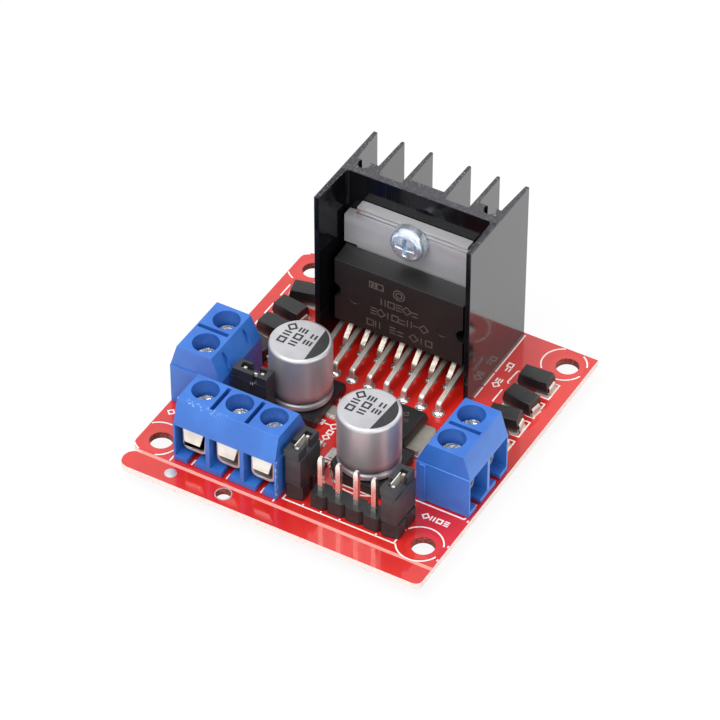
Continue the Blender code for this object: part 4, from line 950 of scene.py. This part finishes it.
print("stage: diodes")
diodePlaces = (
    (17.3, 13.6, 3),
    (17.43, 9.35, -7.5),
    (17.2, 5.3, 9),
    (17.3, 1.3, 0),
    (-16.7, 13.4, 14),
    (-16.84, 9.43, -8),
    (-16.9, 5.55, -5),
    (-16.9, 1.3, -12),
)
diode = dict(length=4.3, width=2.6, low=0.2, height=2.3, draft=0.2, parting=1.1, edge=0.1)
diodeLead = dict(width=1.5, thick=0.22, out=0.14, start=1.9, under=1.35, low=0.21, bend=0.24, pad=(1.9, 2.5))


# Moulded body with cut corners, its levels each a height and an inset
def mouldedBody(length, width, levels, cut=0.06):
    outlines = [(cutRectangle(length - 2 * depth, width - 2 * depth, cut), z) for z, depth in levels]
    return skin(levelled(outlines))


# Solder drawn up a strip's end: height under z = h (1 - s)^3 over a reach s, lower at the strip's sides
def fillet(x, width, reach, height, way):
    share = np.linspace(0, 1, 7)
    end = x + way * reach
    curve = [(x, -dip)] + [(x + way * reach * s, 0.03 + height * (1 - s) ** 3) for s in share] + [(end, -dip)]
    middle = [[(a, y * width / 2, z) for a, z in curve] for y in (-0.86, 0.86)]
    sides = [[(a, y * width / 2, max(z * 0.35, -dip)) for a, z in curve] for y in (-1, 1)]
    return skin(np.array([sides[0], *middle, sides[1]]))


# A diode's two leads, bent down and back under its body, with their solder
def diodeLeads():
    metal, lead = [], diodeLead
    for way in (-1, 1):
        outer = way * (diode["length"] / 2 + lead["out"])
        corners = [(way * lead["start"], 0, diode["parting"]), (outer, 0, diode["parting"])]
        corners += [(outer, 0, lead["low"]), (way * lead["under"], 0, lead["low"])]
        section = stripSection(lead["width"], lead["thick"])
        metal.append(sweep(bentPath(corners, lead["bend"]), section))
        metal.append(fillet(outer + way * 0.09, 1.6, 0.22, 0.4, way))
    return metal


# The bare pads under a diode's leads
def diodePads():
    outer = diode["length"] / 2 + diodeLead["out"] - 0.87
    return [raised(rectangle(way * outer, 0, *diodeLead["pad"]), -dip, 0.04) for way in (-1, 1)]


diodeEpoxy = finish("diode_epoxy", "201f21", "19181a", (0.3, 0.44), (0.6, 9, 3))
padTin = finish("pad_tin", "d8ccc4", "c0b6b0", (0.35, 0.5), (1.0, 4, 8), metal=0.5)
diodeLevels = (
    (diode["low"], diode["draft"]),
    (diode["parting"], 0),
    (diode["height"] - diode["edge"], diode["draft"] * 0.9),
    (diode["height"], diode["draft"] + diode["edge"]),
)
for number, (x, y, turn) in enumerate(diodePlaces, 1):
    name = f"diode_{number}"
    body = place(mouldedBody(diode["length"], diode["width"], diodeLevels), x, y, 0, turn)
    makePiece(name + "_body", [body], diodeEpoxy, [name])
    makePiece(name + "_leads", placed(diodeLeads(), x, y, turn), leadTin)
    makePiece(name + "_pads", placed(diodePads(), x, y), padTin)

print("stage: regulator, indicator and resistor")
regulator = dict(
    x=5.85, y=-2.85, length=6.1, width=6.4, levels=((0.8, 0.06), (1.3, 0), (2.2, 0.24), (2.3, 0.34)),
    leadPitch=2.28, leadWidth=0.8, leadThick=0.3, leadX=(-2.8, -3.65, -4.25, -5.35), leadHigh=1.2,
    leadLow=0.25, bend=0.3, pad=(-4.9, 1.8, 1.5), slugPad=(3.65, 2.9, 5.5), marks=(6.6, -1.4, 0.8, 1.2, -62),
)
spot = regulator["x"], regulator["y"]
# Half outline of the regulator's metal slab
slugHalf = ((-1.75, -2.475), (4.45, -2.475), (4.65, -2.2))
regulatorEpoxy = finish("regulator_epoxy", "1e1e1f", "181819", (0.34, 0.46), (0.6, 9, 3))
body = mouldedBody(regulator["length"], regulator["width"], regulator["levels"])
makePiece("regulator_case", placed([body], *spot), regulatorEpoxy, ["regulator_body"])
marks = markRow("square bars", *regulator["marks"])
makePiece("regulator_marks", [stroke(line, 0.12, 2.28, 2.31) for line in marks], laserMark)
# Two whole leads, and the middle one cut short
metal, under = [], []
section = stripSection(regulator["leadWidth"], regulator["leadThick"])
padX, *padSize = regulator["pad"]
for way in (-1, 0, 1):
    shift = way * regulator["leadPitch"]
    heights = [regulator["leadHigh"]] * 2
    if way:
        heights += [regulator["leadLow"]] * 2
        under.append(raised(rectangle(padX, shift, *padSize), -dip, 0.13, 0.1))
    corners = [(x, shift, z) for x, z in zip(regulator["leadX"], heights)]
    metal.append(sweep(bentPath(corners, regulator["bend"]), section))
padX, *padSize = regulator["slugPad"]
under.append(raised(rectangle(padX, 0, *padSize), -dip, 0.12, 0.1))
makePiece("regulator_leads", placed(metal, *spot), leadTin)
slug = raised([*slugHalf, *((x, -y) for x, y in slugHalf[::-1])], 0.1, 0.7, 0.06)
regulatorTin = finish("regulator_tin", "bab4a8", "a8a296", (0.4, 0.52), (0.5, 7, 4), metal=0.5)
makePiece("regulator_slug", placed([slug], *spot), regulatorTin, ["regulator_tab"])
makePiece("regulator_solder", placed(under, *spot), solderTin)

resin = finish("indicator_resin", "e8e2cc", "d6ccb0", (0.18, 0.3), (1.5, 8, 3), Transmission_Weight=0.25)
ceramic = finish("resistor_ceramic", "1c1c1e", "141416", (0.3, 0.42), (1.5, 8, 3))
endTin = finish("end_tin", "e2e0de", "c8c6c6", (0.25, 0.4), (1.5, 8, 6), metal=0.8)
block = dict(halfWide=0.625, halfLong=0.9, low=0.12, endWide=0.66, endY=0.83, padY=1.1, pad=(1.5, 0.84))
for name, x, y, height, material, slotName in (
    ("indicator_led", -1.3, -10.6, 0.8, resin, "indicator_resin"),
    ("resistor", 0.9, -13.2, 0.55, ceramic, "resistor_ceramic"),
):
    wide, long = block["halfWide"], block["halfLong"]
    middle = [roundedBox((x - wide, y - long, block["low"]), (x + wide, y + long, height), 0.06)]
    if name == "indicator_led":
        middle.append(roundedBox((x - 0.5, y - 0.55, 0.5), (x + 0.5, y + 0.55, height + 0.05), 0.1))
    makePiece(name + "_case", middle, material, [name])
    ends, wide = [], block["endWide"]
    for end in (y - block["endY"], y + block["endY"]):
        ends.append(roundedBox((x - wide, end - 0.22, 0.1), (x + wide, end + 0.17, height + 0.05), 0.07))
    ends += [raised(rectangle(x, y + way * block["padY"], *block["pad"]), -dip, 0.13, 0.1) for way in (-1, 1)]
    makePiece(name + "_ends", ends, endTin)

print("stage: room and camera")
room = dict(ambient=0.62, glow=0.92, mirror=0.45, shine=0.7, floor=0.86, floorSize=6, floorZ=-0.0002)
# Each lamp: place in metres, size in metres, power in watts
lamps = dict(
    key=((-0.1, -0.35, 0.72), 0.5, 5.2),
    fill=((0.6, -0.2, 0.35), 0.5, 1.1),
    back_rim=((0.1, 0.6, 0.45), 0.4, 1.0),
)
lookedAt = Vector((0, 0, 0.01))
camera = dict(
    azimuth=29.996, elevation=42.068, distance=0.523418, lens=202.45, sensor=36, nearest=0.01,
    target=(-0.004806, 0.008316, 0.0032),
)

# Pale floor: it shows shadows, and a part of it glows so that it looks white
bpy.ops.mesh.primitive_plane_add(size=room["floorSize"], location=(0, 0, room["floorZ"]))
floor = bpy.context.object
floor.name = "studio_floor"
floorLook = bpy.data.materials.new("studio_floor")
floorLook.use_nodes = True
tree = floorLook.node_tree
tree.nodes.clear()
diffuse = put(tree, "BsdfDiffuse", {"Color": (room["floor"], room["floor"], room["floor"], 1)})
path = put(tree, "LightPath").outputs
mirrored = path["Is Glossy Ray"]
brighter = reckon("MULTIPLY_ADD", mirrored, room["shine"], 1.0)
glow = put(tree, "Emission", {"Color": (1, 1, 1, 1), "Strength": brighter})
inView, inMirror = product(path["Is Camera Ray"], room["glow"]), product(mirrored, room["mirror"])
seen = reckon("ADD", inView, inMirror)
mixed = put(tree, "MixShader", {0: seen, 1: diffuse.outputs[0], 2: glow.outputs[0]})
put(tree, "OutputMaterial", {"Surface": mixed.outputs[0]})
floor.data.materials.append(floorLook)

# White all round for rays from the camera, mirrors and glass, dimmer as a light
world = bpy.data.worlds.new("white_room")
scene.world = world
world.use_nodes = True
tree = world.node_tree
tree.nodes.clear()
path = put(tree, "LightPath").outputs
shown = reckon("MAXIMUM", path["Is Camera Ray"], path["Is Glossy Ray"])
shown = reckon("MAXIMUM", shown, path["Is Transmission Ray"])
strength = reckon("MULTIPLY_ADD", shown, 1 - room["ambient"], room["ambient"])
background = put(tree, "Background", {"Color": (1, 1, 1, 1), "Strength": strength})
put(tree, "OutputWorld", {"Surface": background.outputs[0]})

# Soft square lamps that look at the board
for name, (location, size, power) in lamps.items():
    data = bpy.data.lights.new(name, "AREA")
    data.size = size
    data.energy = power
    lit = bpy.data.objects.new(name, data)
    scene.collection.objects.link(lit)
    lit.location = location
    lit.rotation_euler = (Vector(location) - lookedAt).to_track_quat("Z", "Y").to_euler()

# Camera at target + distance * (sin a cos e, -cos a cos e, sin e), a and e its azimuth and elevation
azimuth, elevation = math.radians(camera["azimuth"]), math.radians(camera["elevation"])
level = math.cos(elevation)
back = Vector((math.sin(azimuth) * level, -math.cos(azimuth) * level, math.sin(elevation)))
data = bpy.data.cameras.new("camera")
data.lens = camera["lens"]
data.sensor_width = camera["sensor"]
data.clip_start = camera["nearest"]
eye = bpy.data.objects.new("camera", data)
scene.collection.objects.link(eye)
eye.location = Vector(camera["target"]) + back * camera["distance"]
eye.rotation_euler = back.to_track_quat("Z", "Y").to_euler()
scene.camera = eye
